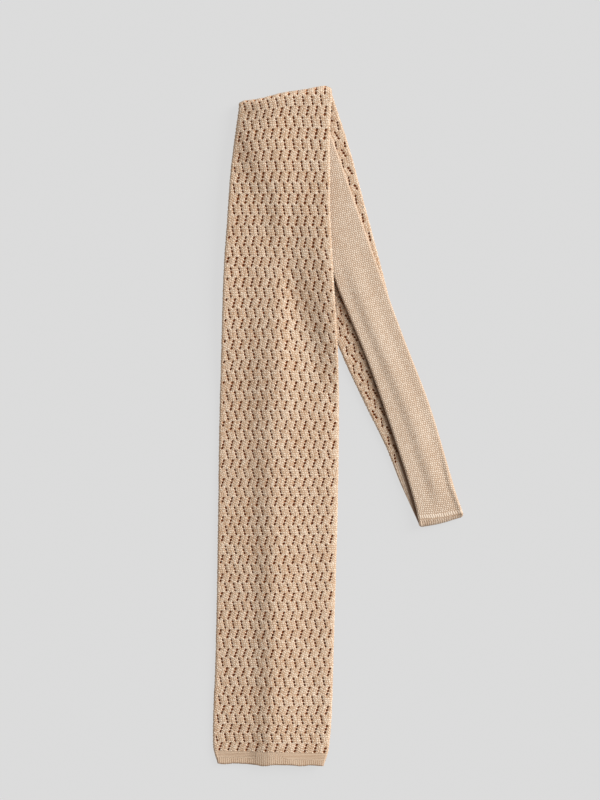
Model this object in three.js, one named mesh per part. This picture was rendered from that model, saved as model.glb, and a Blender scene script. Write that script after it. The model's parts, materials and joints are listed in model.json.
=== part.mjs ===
// Knit tie with a lace blade, folded in half at the neck and once more over the top, lying flat.
// Millimetres, +Z up, X to the right and Y up along the blade. The front blade faces +Z.
//
// The whole tie is one flattened knitted tube. Four straight runs of it lie on each other, from the
// surface up: back (from the top fold down to the neck), strap (from the neck up again), tail (hidden
// behind the front) and front. Three folds join them. Each upper run drapes over the ones below it.
import * as THREE from 'three';

// Lengths and widths of the tie as it lies
const BLADE_LENGTH = 415.6; // front run, from the top fold to the end of the hem
const BLADE_WIDTH = 75; // wide blade at its widest, pressed flat
const TOP_FOLD_WIDTH = 58.5; // across the blade along the top fold
const BACK_LENGTH = 280; // back run, from the top fold to the neck fold
const NECK_WIDTH = 27.5; // neckband, pressed flat
const TAIL_WIDTH = 34; // narrow blade, pressed flat
const HEM_LENGTH = 9; // ribbed band at either end
const PLAIN_BEFORE_NECK = 42; // plain knit between the wide lace and the neck fold
const PLAIN_AFTER_TOP = 25; // plain knit between the upper fold of the strap and the narrow lace
const TAIL_SHORTFALL = 2; // how far the hidden end stops above the front end

// Cloth
const WALL = 1; // one layer of knitting
const HOLLOW = 0.4; // inside the pressed tube, between its two walls
const GAP = 0.3; // between layers, and between pieces that follow each other

// Angles of the runs from straight up and down, and of the folds from level, in degrees
const FRONT_LEAN = -1.3;
const BACK_LEAN = 20.2;
const STRAP_LEAN = 19;
const TAIL_LEAN = 0.1;
const TOP_FOLD_ANGLE = 7.8;
const NECK_FOLD_ANGLE = 8.5;

// Drape
const DRAPE_REACH = 15; // how far out from an edge below the cloth comes down from it
const DRAPE_MARGIN = 1.2; // how far past that edge it stays up
const TURN_REACH = 70; // over which the knitted rows turn to lie along a fold
const FOLD_NEST = 1; // how far the strap's upper fold sits inside the top fold

// The crease along the strap: its height, its place across from -1 at the left edge to 1 at the right,
// its half width as a share of the strap's, and the shares of the strap over which it rises and falls
const RIDGE = { height: 0.8, across: -0.42, halfWidth: 0.3, rises: [0.02, 0.12], falls: [0.42, 0.56] };

// Where the rows of vertices across the tube lie, from -1 at its left edge to 1 at its right
const WIDE_COLUMNS = [-1, -0.8, -0.62, -0.5, -0.41, -0.32, -0.23, -0.14, -0.05, 0.07, 0.2, 0.33, 0.46,
  0.6, 0.73, 0.86, 1];
const NARROW_COLUMNS = [-1, -0.66, -0.42, -0.18, 0.2, 0.6, 1];
const TAIL_COLUMNS = [-1, -0.75, -0.5, -0.25, 0, 0.25, 0.5, 0.75, 1];
const EDGE_ANGLES = [50, 0, -50]; // points round a folded side edge, in degrees
const FOLD_STEPS = 6; // stretches round a fold
const HEM_STEPS = 3; // stretches along a hem
const STEP_OVER_LAYERS = 12; // distance of rows where a run climbs over others
const STEP_FREE = 32; // distance of rows where it lies free
const STEP_NECKBAND = 16; // distance of rows of the neckband
const OVERLAP_SHARE = 0.72; // share of the back run's length within which the front and tail lie over it

const TUBE = 2 * WALL + HOLLOW;
const PITCH = TUBE + GAP; // height of one layer on another
const EDGE_RADIUS = TUBE / 2;
const CORNER_START = 0.85; // share of the width where a fold's corner starts to round off
const CORNER_DEPTH = 0.4; // share of the fold's bulge that is gone at the corner

// Side edges of the front run: its place along the run, and the edges as shares of the blade's width
const TOP = TOP_FOLD_WIDTH / 2 / BLADE_WIDTH;
const FRONT_EDGES = [
  { along: 0, left: -TOP, right: TOP },
  { along: 0.05, left: -0.418, right: 0.377 },
  { along: 0.1, left: -0.442, right: 0.383 },
  { along: 0.17, left: -0.46, right: 0.393 },
  { along: 0.26, left: -0.482, right: 0.432 },
  { along: 0.38, left: -0.488, right: 0.486 },
  { along: 0.5, left: -0.49, right: 0.507 },
  { along: 0.65, left: -0.482, right: 0.511 },
  { along: 0.84, left: -0.478, right: 0.504 },
  { along: 0.93, left: -0.496, right: 0.5 },
  { along: 0.975, left: -0.485, right: 0.482 },
  { along: 0.988, left: -0.465, right: 0.464 },
  { along: 1, left: -0.44, right: 0.442 },
];

// Edges of the back run, as shares of the way out from the neckband's edge to the top fold's end
const BACK_EDGES = [
  { along: 0, left: 1, right: 1 },
  { along: 0.11, left: 0.78, right: 0.9 },
  { along: 0.19, left: 0.68, right: 0.79 },
  { along: 0.3, left: 0.62, right: 0.61 },
  { along: 0.41, left: 0.6, right: 0.43 },
  { along: 0.52, left: 0.57, right: 0.23 },
  { along: 0.6, left: 0.51, right: 0.14 },
  { along: 0.7, left: 0.35, right: 0.1 },
  { along: 0.81, left: 0.15, right: 0.08 },
  { along: 0.9, left: 0.12, right: 0.06 },
  { along: 1, left: 0, right: 0 },
];

// Edges of the strap, as shares of the neckband's width
const STRAP_EDGES = [
  { along: 0, left: -0.5, right: 0.5 },
  { along: 0.04, left: -0.49, right: 0.53 },
  { along: 0.12, left: -0.48, right: 0.57 },
  { along: 0.26, left: -0.49, right: 0.62 },
  { along: 0.42, left: -0.5, right: 0.56 },
  { along: 0.6, left: -0.5, right: 0.53 },
  { along: 1, left: -0.5, right: 0.5 },
];

// Edges of the tail, as shares of the narrow blade's width
const NECK = NECK_WIDTH / 2 / TAIL_WIDTH;
const TAIL_EDGES = [
  { along: 0, left: -NECK, right: NECK },
  { along: 0.1, left: -0.41, right: 0.41 },
  { along: 0.3, left: -0.43, right: 0.44 },
  { along: 0.6, left: -0.49, right: 0.48 },
  { along: 0.9, left: -0.5, right: 0.48 },
  { along: 1, left: -0.55, right: 0.42 },
];

// Where the front run swells up off the layers below: the middle and half width of each swell across
// the run, from -1 at the left edge to 1 at the right, its height in mm, and its start and end along it
const FRONT_SWELLS = [
  { across: 0.04, halfWidth: 0.3, height: 0.9, from: 0.02, to: 0.5 },
  { across: 1, halfWidth: 0.42, height: 1, from: 0.03, to: 0.4 },
];
const SWELL_FADE = 0.12; // share of the run over which a swell begins or ends

const radians = THREE.MathUtils.degToRad;
const blend = THREE.MathUtils.lerp;
const smooth = THREE.MathUtils.smoothstep;
const unit = (degrees) => new THREE.Vector2(Math.cos(radians(degrees)), Math.sin(radians(degrees)));

// The column of a table at a place along it, by a smooth curve through its rows
function readTable(rows, column, along) {
  const last = rows.length - 1;
  const next = rows.findIndex((row) => row.along > along);
  const i = next < 0 ? last - 1 : Math.max(next - 1, 0);
  const value = (k) => rows[THREE.MathUtils.clamp(k, 0, last)][column];
  const place = (k) => rows[THREE.MathUtils.clamp(k, 0, last)].along;
  const slope = (k) => (value(k + 1) - value(k - 1)) / (place(k + 1) - place(k - 1));
  const span = place(i + 1) - place(i);
  const t = THREE.MathUtils.clamp((along - place(i)) / span, 0, 1);
  const start = value(i) * (1 + 2 * t) * (1 - t) ** 2 + slope(i) * span * t * (1 - t) ** 2;
  const end = value(i + 1) * t * t * (3 - 2 * t) - slope(i + 1) * span * t * t * (1 - t);
  return start + end;
}

// One straight run of the tube, seen from above. Its rows lie square across it, and turn to lie along
// the fold at either end. lean is the angle of those rows, and the run goes down or up from its start.
class Run {
  constructor({ start, lean, goesDown, length, foldAtStart, foldAtEnd, edges, faceUp }) {
    Object.assign(this, { start, lean, length, foldAtStart, foldAtEnd, edges, faceUp });
    this.heading = unit(lean + (goesDown ? -90 : 90));
    this.across = unit(lean);
    this.square = unit(lean + 90).dot(this.heading);
  }

  rowAngle(along) {
    const turned = (fold, away) => {
      if (fold === null) return 0;
      return (fold - this.lean) * (1 - smooth(away, 0, TURN_REACH));
    };
    return turned(this.foldAtStart, along) + turned(this.foldAtEnd, this.length - along);
  }

  at(along, across) {
    return this.start.clone()
      .addScaledVector(this.heading, along)
      .addScaledVector(unit(this.lean + this.rowAngle(along)), across);
  }

  sides(along) {
    return this.edges(THREE.MathUtils.clamp(along / this.length, 0, 1));
  }

  // 1 on the run and a little past its edges, falling to 0 at the end of the drape
  cover(point) {
    const rise = point.clone().sub(this.start);
    const out = rise.dot(this.across);
    let along = rise.dot(this.heading);
    let across = out;
    for (let pass = 0; pass < 3; pass += 1) {
      const turn = radians(this.rowAngle(THREE.MathUtils.clamp(along, 0, this.length)));
      across = out / Math.cos(turn);
      along = rise.dot(this.heading) - across * Math.sin(turn) * this.square;
    }
    const { left, right } = this.sides(along);
    const past = Math.max(left - across, across - right);
    return 1 - smooth(past, DRAPE_MARGIN, DRAPE_MARGIN + DRAPE_REACH);
  }
}

// Edges as functions of the share along each run
const scaled = (rows, size) => (share) => ({
  left: size * readTable(rows, 'left', share),
  right: size * readTable(rows, 'right', share),
});
const tapered = (rows, small, large) => (share) => ({
  left: -blend(small, large, readTable(rows, 'left', share)) / 2,
  right: blend(small, large, readTable(rows, 'right', share)) / 2,
});

// How far along a run that starts at a point meets a line, less a distance short of that line
function reachTo(start, heading, linePoint, lineAngle, short) {
  const normal = unit(lineAngle + 90);
  return (linePoint.clone().sub(start).dot(normal)) / heading.dot(normal)
    - short / Math.abs(heading.dot(normal));
}

const foldCentre = new THREE.Vector2(0, 0);
const front = new Run({
  start: foldCentre, lean: FRONT_LEAN, goesDown: true, length: BLADE_LENGTH, faceUp: 1,
  foldAtStart: TOP_FOLD_ANGLE, foldAtEnd: null, edges: scaled(FRONT_EDGES, BLADE_WIDTH),
});
const back = new Run({
  start: foldCentre, lean: BACK_LEAN, goesDown: true, length: BACK_LENGTH, faceUp: -1,
  foldAtStart: TOP_FOLD_ANGLE, foldAtEnd: NECK_FOLD_ANGLE,
  edges: tapered(BACK_EDGES, NECK_WIDTH, TOP_FOLD_WIDTH),
});
const neckCentre = back.at(BACK_LENGTH, 0);
const strap = new Run({
  start: neckCentre, lean: STRAP_LEAN, goesDown: false, faceUp: 1,
  length: reachTo(neckCentre, unit(STRAP_LEAN + 90), foldCentre, TOP_FOLD_ANGLE, FOLD_NEST),
  foldAtStart: NECK_FOLD_ANGLE, foldAtEnd: TOP_FOLD_ANGLE, edges: scaled(STRAP_EDGES, NECK_WIDTH),
});
const strapTop = strap.at(strap.length, 0);
const tail = new Run({
  start: strapTop, lean: TAIL_LEAN, goesDown: true, faceUp: -1,
  length: reachTo(strapTop, unit(TAIL_LEAN - 90), front.at(BLADE_LENGTH, 0), FRONT_LEAN, TAIL_SHORTFALL),
  foldAtStart: TOP_FOLD_ANGLE, foldAtEnd: null, edges: scaled(TAIL_EDGES, TAIL_WIDTH),
});

// The runs from the surface up, and the height of the middle of a run's tube at a point
const LAYERS = [back, strap, tail, front];
function middleHeight(run, point) {
  const below = LAYERS.slice(0, LAYERS.indexOf(run));
  return EDGE_RADIUS + PITCH * below.reduce((sum, lower) => sum + lower.cover(point), 0);
}

// How high the front run swells at a share of its length and a place across it
function swellAt(share, across, sides) {
  const q = (across * 2 - sides.left - sides.right) / (sides.right - sides.left);
  return FRONT_SWELLS.reduce((sum, { across: middle, halfWidth, height, from, to }) => {
    const lasting = smooth(share, from, from + SWELL_FADE) * (1 - smooth(share, to - SWELL_FADE, to));
    return sum + height * lasting * (1 - smooth(Math.abs(q - middle), 0, halfWidth));
  }, 0);
}

// A row of the tube on a run: a function from a place across and a height in the tube to a point
function runRow(run, along) {
  const sides = run.sides(along);
  const share = along / run.length;
  return {
    sides,
    ridge: run === strap ? ridgeAt(share) : 0,
    place(across, rise) {
      const p = run.at(along, across);
      const swell = run === front ? swellAt(share, across, sides) : 0;
      return new THREE.Vector3(p.x, p.y, middleHeight(run, p) + swell + run.faceUp * rise);
    },
  };
}

// The crease shows where the strap lies open and fades out towards the neck and under the front
function ridgeAt(share) {
  return RIDGE.height * smooth(share, ...RIDGE.rises) * (1 - smooth(share, ...RIDGE.falls));
}

// A row of the tube round a fold between the end of one run and the start of the next
function foldRow(from, fromAlong, to, turn) {
  const sides = from.sides(fromAlong);
  const ahead = from.heading.clone().multiplyScalar(fromAlong > 0 ? 1 : -1);
  const foldAngle = fromAlong > 0 ? from.foldAtEnd : from.foldAtStart;
  const outward = unit(foldAngle + 90);
  if (outward.dot(ahead) < 0) outward.negate();
  return {
    sides,
    ridge: 0,
    place(across, rise) {
      const p = from.at(fromAlong, across);
      const startHeight = middleHeight(from, p);
      const endHeight = middleHeight(to, p);
      const half = (startHeight - endHeight) / 2;
      const sign = Math.sign(half) * from.faceUp;
      const share = Math.abs(across - (sides.left + sides.right) / 2) / ((sides.right - sides.left) / 2);
      const bulge = Math.abs(half) * (1 - CORNER_DEPTH * smooth(share, CORNER_START, 1));
      const out = (bulge + rise * sign) * Math.sin(turn);
      const height = (startHeight + endHeight) / 2 + (half + rise * from.faceUp) * Math.cos(turn);
      return new THREE.Vector3(p.x + outward.x * out, p.y + outward.y * out, height);
    },
  };
}

// Rows from one place along a run to another, evenly spread and no further apart than a step
function runRows(run, from, to, step) {
  const count = Math.max(1, Math.ceil(Math.abs(to - from) / step));
  return Array.from({ length: count + 1 }, (_, i) => runRow(run, blend(from, to, i / count)));
}

function foldRows(from, fromAlong, to) {
  return Array.from({ length: FOLD_STEPS - 1 }, (_, i) =>
    foldRow(from, fromAlong, to, (Math.PI * (i + 1)) / FOLD_STEPS));
}

// How much the upper wall lifts at a place across a row
function lift(row, q) {
  return row.ridge * Math.max(0, 1 - ((q - RIDGE.across) / RIDGE.halfWidth) ** 2);
}

// The outer skin of a row: along the upper wall, round the right edge, back along the lower wall
function outerLoop(row, columns) {
  const centre = (row.sides.left + row.sides.right) / 2;
  const flat = (row.sides.right - row.sides.left) / 2 - EDGE_RADIUS;
  const upper = columns.map((q) => row.place(centre + q * flat, EDGE_RADIUS + lift(row, q)));
  const lower = columns.map((q) => row.place(centre + q * flat, -EDGE_RADIUS)).reverse();
  const round = (side, angles) => angles.map((angle) =>
    row.place(centre + side * (flat + EDGE_RADIUS * Math.cos(radians(angle))),
      EDGE_RADIUS * Math.sin(radians(angle))));
  return [...upper, ...round(1, EDGE_ANGLES), ...lower, ...round(-1, [...EDGE_ANGLES].reverse())];
}

// The skin of the hollow, with its two walls meeting in one point at either side
function innerLoop(row, columns) {
  const centre = (row.sides.left + row.sides.right) / 2;
  const flat = (row.sides.right - row.sides.left) / 2 - EDGE_RADIUS;
  const reach = flat + EDGE_RADIUS - WALL;
  const inner = columns.slice(1, -1);
  const upper = inner.map((q) => row.place(centre + q * flat, HOLLOW / 2 + lift(row, q)));
  const lower = inner.map((q) => row.place(centre + q * flat, -HOLLOW / 2)).reverse();
  return [row.place(centre - reach, 0), ...upper, row.place(centre + reach, 0), ...lower];
}

// For each point of the outer loop, the point of the inner one that it is joined to at an open end
function innerPartners(count) {
  const left = 0;
  const right = count - 1;
  const edge = EDGE_ANGLES.length;
  const upper = Array.from({ length: count - 2 }, (_, i) => i + 1);
  const lower = Array.from({ length: count - 2 }, (_, i) => count + i);
  const rightEdge = Array(edge + 2).fill(right);
  return [left, ...upper, ...rightEdge, ...lower, left, ...Array(edge).fill(left)];
}

// A tube through rows, hollow and open at both ends, as one closed body
function tube(name, rows, columns, colour) {
  const outer = rows.map((row) => outerLoop(row, columns));
  const inner = rows.map((row) => innerLoop(row, columns));
  const outerSize = outer[0].length;
  const innerSize = inner[0].length;
  const innerBase = rows.length * outerSize;
  const o = (row, i) => row * outerSize + (i % outerSize);
  const n = (row, i) => innerBase + row * innerSize + (i % innerSize);
  const triangles = [];
  const quad = (a, b, c, d) => triangles.push([a, b, c], [a, c, d]);
  for (let row = 0; row + 1 < rows.length; row += 1) {
    for (let i = 0; i < outerSize; i += 1) {
      quad(o(row, i), o(row, i + 1), o(row + 1, i + 1), o(row + 1, i));
    }
    for (let i = 0; i < innerSize; i += 1) {
      quad(n(row, i + 1), n(row, i), n(row + 1, i), n(row + 1, i + 1));
    }
  }
  const partner = innerPartners(columns.length);
  const last = rows.length - 1;
  for (let i = 0; i < outerSize; i += 1) {
    const j = (i + 1) % outerSize;
    quad(o(0, j), o(0, i), n(0, partner[i]), n(0, partner[j]));
    quad(o(last, i), o(last, j), n(last, partner[j]), n(last, partner[i]));
  }
  const points = [...outer.flat(), ...inner.flat()];
  const kept = triangles.filter(([a, b, c]) => a !== b && b !== c && c !== a);
  const volume = kept.reduce((sum, [a, b, c]) =>
    sum + points[a].dot(points[b].clone().cross(points[c])), 0);
  const facing = volume > 0 ? kept : kept.map(([a, b, c]) => [a, c, b]);
  const geometry = new THREE.BufferGeometry().setFromPoints(points);
  geometry.setIndex(facing.flat());
  geometry.computeVertexNormals();
  const material = new THREE.MeshStandardMaterial({ color: colour, roughness: 0.9, metalness: 0 });
  const mesh = new THREE.Mesh(geometry, material);
  mesh.name = name;
  return mesh;
}

const LACE_COLOUR = 0xbda289;
const PLAIN_COLOUR = 0xc9ae90;
const HEM_COLOUR = 0xc4a98d;

const bladeEnd = BLADE_LENGTH - HEM_LENGTH;
const laceEnd = BACK_LENGTH - PLAIN_BEFORE_NECK;
const tailEnd = tail.length - HEM_LENGTH;
const overBack = BACK_LENGTH * OVERLAP_SHARE;
const halfGap = GAP / 2;

const tie = new THREE.Group();
tie.add(
  tube('wide_hem', [
    ...runRows(front, BLADE_LENGTH, bladeEnd + halfGap, HEM_LENGTH / HEM_STEPS),
  ], WIDE_COLUMNS, HEM_COLOUR),
  tube('wide_blade', [
    ...runRows(front, bladeEnd - halfGap, overBack, STEP_FREE),
    ...runRows(front, overBack, 0, STEP_OVER_LAYERS).slice(1),
    ...foldRows(front, 0, back),
    ...runRows(back, 0, laceEnd - halfGap, STEP_FREE),
  ], WIDE_COLUMNS, LACE_COLOUR),
  tube('neckband', [
    ...runRows(back, laceEnd + halfGap, BACK_LENGTH, STEP_NECKBAND),
    ...foldRows(back, BACK_LENGTH, strap),
    ...runRows(strap, 0, strap.length, STEP_NECKBAND),
    ...foldRows(strap, strap.length, tail),
    ...runRows(tail, 0, PLAIN_AFTER_TOP - halfGap, STEP_OVER_LAYERS),
  ], NARROW_COLUMNS, PLAIN_COLOUR),
  tube('narrow_blade', [
    ...runRows(tail, PLAIN_AFTER_TOP + halfGap, overBack, STEP_OVER_LAYERS),
    ...runRows(tail, overBack, tailEnd - halfGap, STEP_FREE).slice(1),
  ], TAIL_COLUMNS, LACE_COLOUR),
  tube('narrow_hem', [
    ...runRows(tail, tailEnd + halfGap, tail.length, HEM_LENGTH / HEM_STEPS),
  ], TAIL_COLUMNS, HEM_COLOUR),
);

// The origin is the middle of the tie's outline, on the surface that it lies on
const box = new THREE.Box3().setFromObject(tie);
const middle = box.getCenter(new THREE.Vector3());
tie.position.set(-middle.x, -middle.y, -box.min.z);

export default tie;
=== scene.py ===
"""Lace-knit tie, folded in half at the neck and once more over the top, lying flat on a pale floor.

Metres, +Z up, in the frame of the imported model. The tie is one long knitted tube, pressed flat. Every
shape below is worked out in the tube's own measures and then laid down: how far along the tube a point
is, how far across it, and how high in it. The lace is real openwork, with a hole through the cloth
wherever the knitting has one.
"""
import json
import logging
import math
from dataclasses import dataclass, field
from enum import Enum
from typing import Any, Sequence

import bpy
import numpy as np
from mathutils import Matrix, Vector

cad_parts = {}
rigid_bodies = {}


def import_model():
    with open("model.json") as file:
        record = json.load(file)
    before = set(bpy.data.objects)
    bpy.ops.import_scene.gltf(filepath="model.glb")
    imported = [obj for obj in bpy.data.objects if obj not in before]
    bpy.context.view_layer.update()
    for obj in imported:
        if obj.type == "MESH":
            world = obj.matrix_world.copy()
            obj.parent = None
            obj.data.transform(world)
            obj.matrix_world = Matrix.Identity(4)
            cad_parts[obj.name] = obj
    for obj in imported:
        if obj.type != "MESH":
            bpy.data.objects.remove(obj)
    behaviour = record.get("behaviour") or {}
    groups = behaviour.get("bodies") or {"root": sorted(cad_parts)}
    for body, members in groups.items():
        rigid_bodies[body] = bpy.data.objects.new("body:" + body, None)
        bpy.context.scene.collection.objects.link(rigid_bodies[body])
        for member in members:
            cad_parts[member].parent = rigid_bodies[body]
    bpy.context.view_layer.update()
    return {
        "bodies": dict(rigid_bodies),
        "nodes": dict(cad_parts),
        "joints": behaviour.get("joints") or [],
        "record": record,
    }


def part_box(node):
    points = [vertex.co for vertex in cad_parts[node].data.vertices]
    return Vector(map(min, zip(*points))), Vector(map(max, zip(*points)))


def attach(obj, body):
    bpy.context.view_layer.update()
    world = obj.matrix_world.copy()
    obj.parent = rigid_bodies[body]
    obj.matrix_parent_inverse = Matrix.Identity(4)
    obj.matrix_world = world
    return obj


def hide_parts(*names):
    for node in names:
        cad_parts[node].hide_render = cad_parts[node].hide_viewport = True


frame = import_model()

MM = 0.001
LOG = logging.getLogger("knit_tie")

Array = np.ndarray
Colour = tuple[float, float, float]
SHARP_FROM = math.radians(75)


def show(name: str, data: bpy.types.ID) -> bpy.types.Object:
    """Puts an object with this data in the scene."""
    made = bpy.data.objects.new(name, data)
    bpy.context.scene.collection.objects.link(made)
    return made


def unit(degrees: float | Array) -> Array:
    """Unit vector or vectors at an angle from +X, in the plane of the floor."""
    turn = np.radians(degrees)
    return np.stack([np.cos(turn), np.sin(turn)], axis=-1)


def ease(value: Array | float, start: Array | float, end: Array | float) -> Array:
    """Smooth step: 0 up to start, 1 from end, and t * t * (3 - 2 * t) between, where t is the share."""
    share = np.clip((np.asarray(value, float) - start) / (end - start), 0, 1)
    return share * share * (3 - 2 * share)


def scatter(*keys: Array, salt: float = 0.0) -> Array:
    """A fixed number from 0 to 1 for each set of keys: the fraction of a large sine of their sum."""
    mixed = sum(key * weight for key, weight in zip(keys, (12.9898, 78.233, 37.719)))
    return np.modf(np.abs(np.sin(mixed + salt * 4.137 + 1.7) * 43758.5453))[0]


@dataclass(frozen=True)
class Curve:
    """A smooth curve through a few given points.

    Args:
        at: Places of the points, rising.
        value: Their values.
    """

    at: tuple[float, ...]
    value: tuple[float, ...]

    def read(self, place: Array) -> Array:
        """Cubic Hermite curve, whose slope at a point is that between its two neighbours."""
        x, y = np.array(self.at), np.array(self.value)
        last = len(x) - 1
        after, before = np.minimum(np.arange(last + 1) + 1, last), np.maximum(np.arange(last + 1) - 1, 0)
        slope = (y[after] - y[before]) / (x[after] - x[before])
        i = np.clip(np.searchsorted(x, place, side="right") - 1, 0, last - 1)
        span = x[i + 1] - x[i]
        t = np.clip((place - x[i]) / span, 0, 1)
        start = y[i] * (1 + 2 * t) * (1 - t) ** 2 + slope[i] * span * t * (1 - t) ** 2
        end = y[i + 1] * t * t * (3 - 2 * t) - slope[i + 1] * span * t * t * (1 - t)
        return start + end


def straight(value: float) -> Curve:
    """A curve that keeps one value."""
    return Curve((0.0, 1.0), (value, value))


@dataclass(frozen=True)
class SideEdges:
    """Where a run's two side edges lie: each is a base plus a size times its curve.

    Args:
        left: Curve of the left edge over the share along the run.
        right: Curve of the right edge.
        base: Half width that the curves start from.
        size: What one unit of a curve stands for.
    """

    left: Curve
    right: Curve
    base: float
    size: float

    def read(self, share: Array) -> tuple[Array, Array]:
        """Places across the run of its left and right edge."""
        share = np.clip(share, 0, 1)
        return -self.base + self.size * self.left.read(share), self.base + self.size * self.right.read(share)


@dataclass(frozen=True)
class Swell:
    """A long low swelling that the cloth lies in.

    Args:
        crest: Its crest over the share along the run, from -1 at the left edge to 1 at the right.
        widths: How far it reaches left and right of the crest, in the same measure.
        height: Height at its crest.
        rises: Shares of the run over which it rises.
        falls: Shares over which it falls.
    """

    crest: Curve
    widths: tuple[float, float]
    height: float
    rises: tuple[float, float]
    falls: tuple[float, float]

    def read(self, share: Array, q: Array) -> Array:
        """Height: a smooth hump across the run, faded in and out along it."""
        lasting = ease(share, *self.rises) * (1 - ease(share, *self.falls))
        off = q - self.crest.read(share)
        return self.height * lasting * (1 - ease(np.abs(off) / np.where(off < 0, *self.widths), 0, 1))


@dataclass(frozen=True)
class Run:
    """One straight run of the tube, seen from above.

    Args:
        start: Where its middle starts.
        lean: Angle of its rows, in degrees.
        goes_down: Whether it runs down the picture from its start, or up.
        length: Length of its middle.
        edges: Its side edges.
        face_up: 1 where the tube's outer wall looks up, -1 where it looks down.
        fold_at_start: Angle of the fold that it starts from, or None.
        fold_at_end: Angle of the fold that it ends at, or None.
        swells: Swellings of the whole run off what it lies on.
        creases: Swellings of its upper wall alone.
        turn_reach: How far from a fold the rows turn towards it.
        drape_margin: How far past its left and right edge the cloth above stays up.
        drape_reach: Over what width the cloth above then comes down, over the share along the run.
    """

    start: Array
    lean: float
    goes_down: bool
    length: float
    edges: SideEdges
    face_up: int
    fold_at_start: float | None = None
    fold_at_end: float | None = None
    swells: tuple[Swell, ...] = ()
    creases: tuple[Swell, ...] = ()
    turn_reach: float = 70 * MM
    drape_margin: tuple[float, float] = (1.2 * MM, 1.2 * MM)
    drape_reach: Curve = straight(15 * MM)

    @property
    def heading(self) -> Array:
        """Unit vector along the run."""
        return unit(self.lean + (-90 if self.goes_down else 90))

    def row_angle(self, along: Array) -> Array:
        """How far the rows have turned towards the fold at either end, in degrees."""
        turned = np.zeros_like(along)
        for fold, away in ((self.fold_at_start, along), (self.fold_at_end, self.length - along)):
            if fold is not None:
                turned = turned + (fold - self.lean) * (1 - ease(away, 0, self.turn_reach))
        return turned

    def at(self, along: Array, across: Array) -> Array:
        """Point on the floor: start, plus along times heading, plus across times the row's direction."""
        rows = unit(self.lean + self.row_angle(along))
        return self.start + along[..., None] * self.heading + across[..., None] * rows

    def sides(self, along: Array) -> tuple[Array, Array]:
        """Left and right edge at a distance along the run."""
        return self.edges.read(along / self.length)

    def locate(self, point: Array) -> tuple[Array, Array]:
        """Where points of the floor lie along and across the run: the inverse of at, in three steps."""
        offset = point - self.start
        out, ahead = offset @ unit(self.lean), offset @ self.heading
        square = float(unit(self.lean + 90) @ self.heading)
        along, across = ahead, out
        for _ in range(3):
            turn = np.radians(self.row_angle(np.clip(along, 0, self.length)))
            across = out / np.cos(turn)
            along = ahead - across * np.sin(turn) * square
        return along, across

    def cover(self, point: Array) -> Array:
        """1 where a point lies on the run, falling smoothly to 0 at the end of the drape beside it."""
        along, across = self.locate(point)
        left, right = self.sides(along)
        past = np.maximum(left - across - self.drape_margin[0], across - right - self.drape_margin[1])
        return 1 - ease(past / self.drape_reach.read(along / self.length), 0, 1)

    def centred(self, along: Array, across: Array) -> Array:
        """Place across the run from -1 at its left edge to 1 at its right."""
        left, right = self.sides(along)
        return (2 * across - left - right) / (right - left)

    def lift(self, along: Array, across: Array, upper: Array) -> Array:
        """How far the swells lift a point, and the creases too where it is in the upper wall."""
        share, q = along / self.length, self.centred(along, across)
        height = sum((swell.read(share, q) for swell in self.swells), np.zeros_like(q))
        return height + upper * sum((crease.read(share, q) for crease in self.creases), np.zeros_like(q))


@dataclass(frozen=True)
class Fold:
    """A fold that joins the end of one run to the start of the next.

    Args:
        run: The run that it comes from.
        at_end: Whether it comes from that run's end, or from its start.
        onto: The run that it goes to.
    """

    run: Run
    at_end: bool
    onto: Run

    def along(self, like: Array) -> Array:
        """Distance along the run where the fold is."""
        return np.full_like(like, self.run.length if self.at_end else 0.0)

    def outward(self) -> Array:
        """Unit vector square to the fold, away from the run."""
        angle = self.run.fold_at_end if self.at_end else self.run.fold_at_start
        away = unit(angle + 90)
        ahead = self.run.heading * (1 if self.at_end else -1)
        return away if away @ ahead > 0 else -away


@dataclass(frozen=True)
class Nudge:
    """A small soft shift of all the cloth about one place.

    Args:
        middle: The place, from the tie's origin.
        move: The shift there.
        reach: How far away it has faded to about a third.
    """

    middle: tuple[float, float]
    move: tuple[float, float]
    reach: float

    def read(self, points: Array) -> Array:
        """The shift at points: the move times exp(-(distance / reach) squared)."""
        away = ((points - np.array(self.middle)) ** 2).sum(axis=-1, keepdims=True)
        return np.exp(-away / self.reach ** 2) * np.array(self.move)


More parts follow.
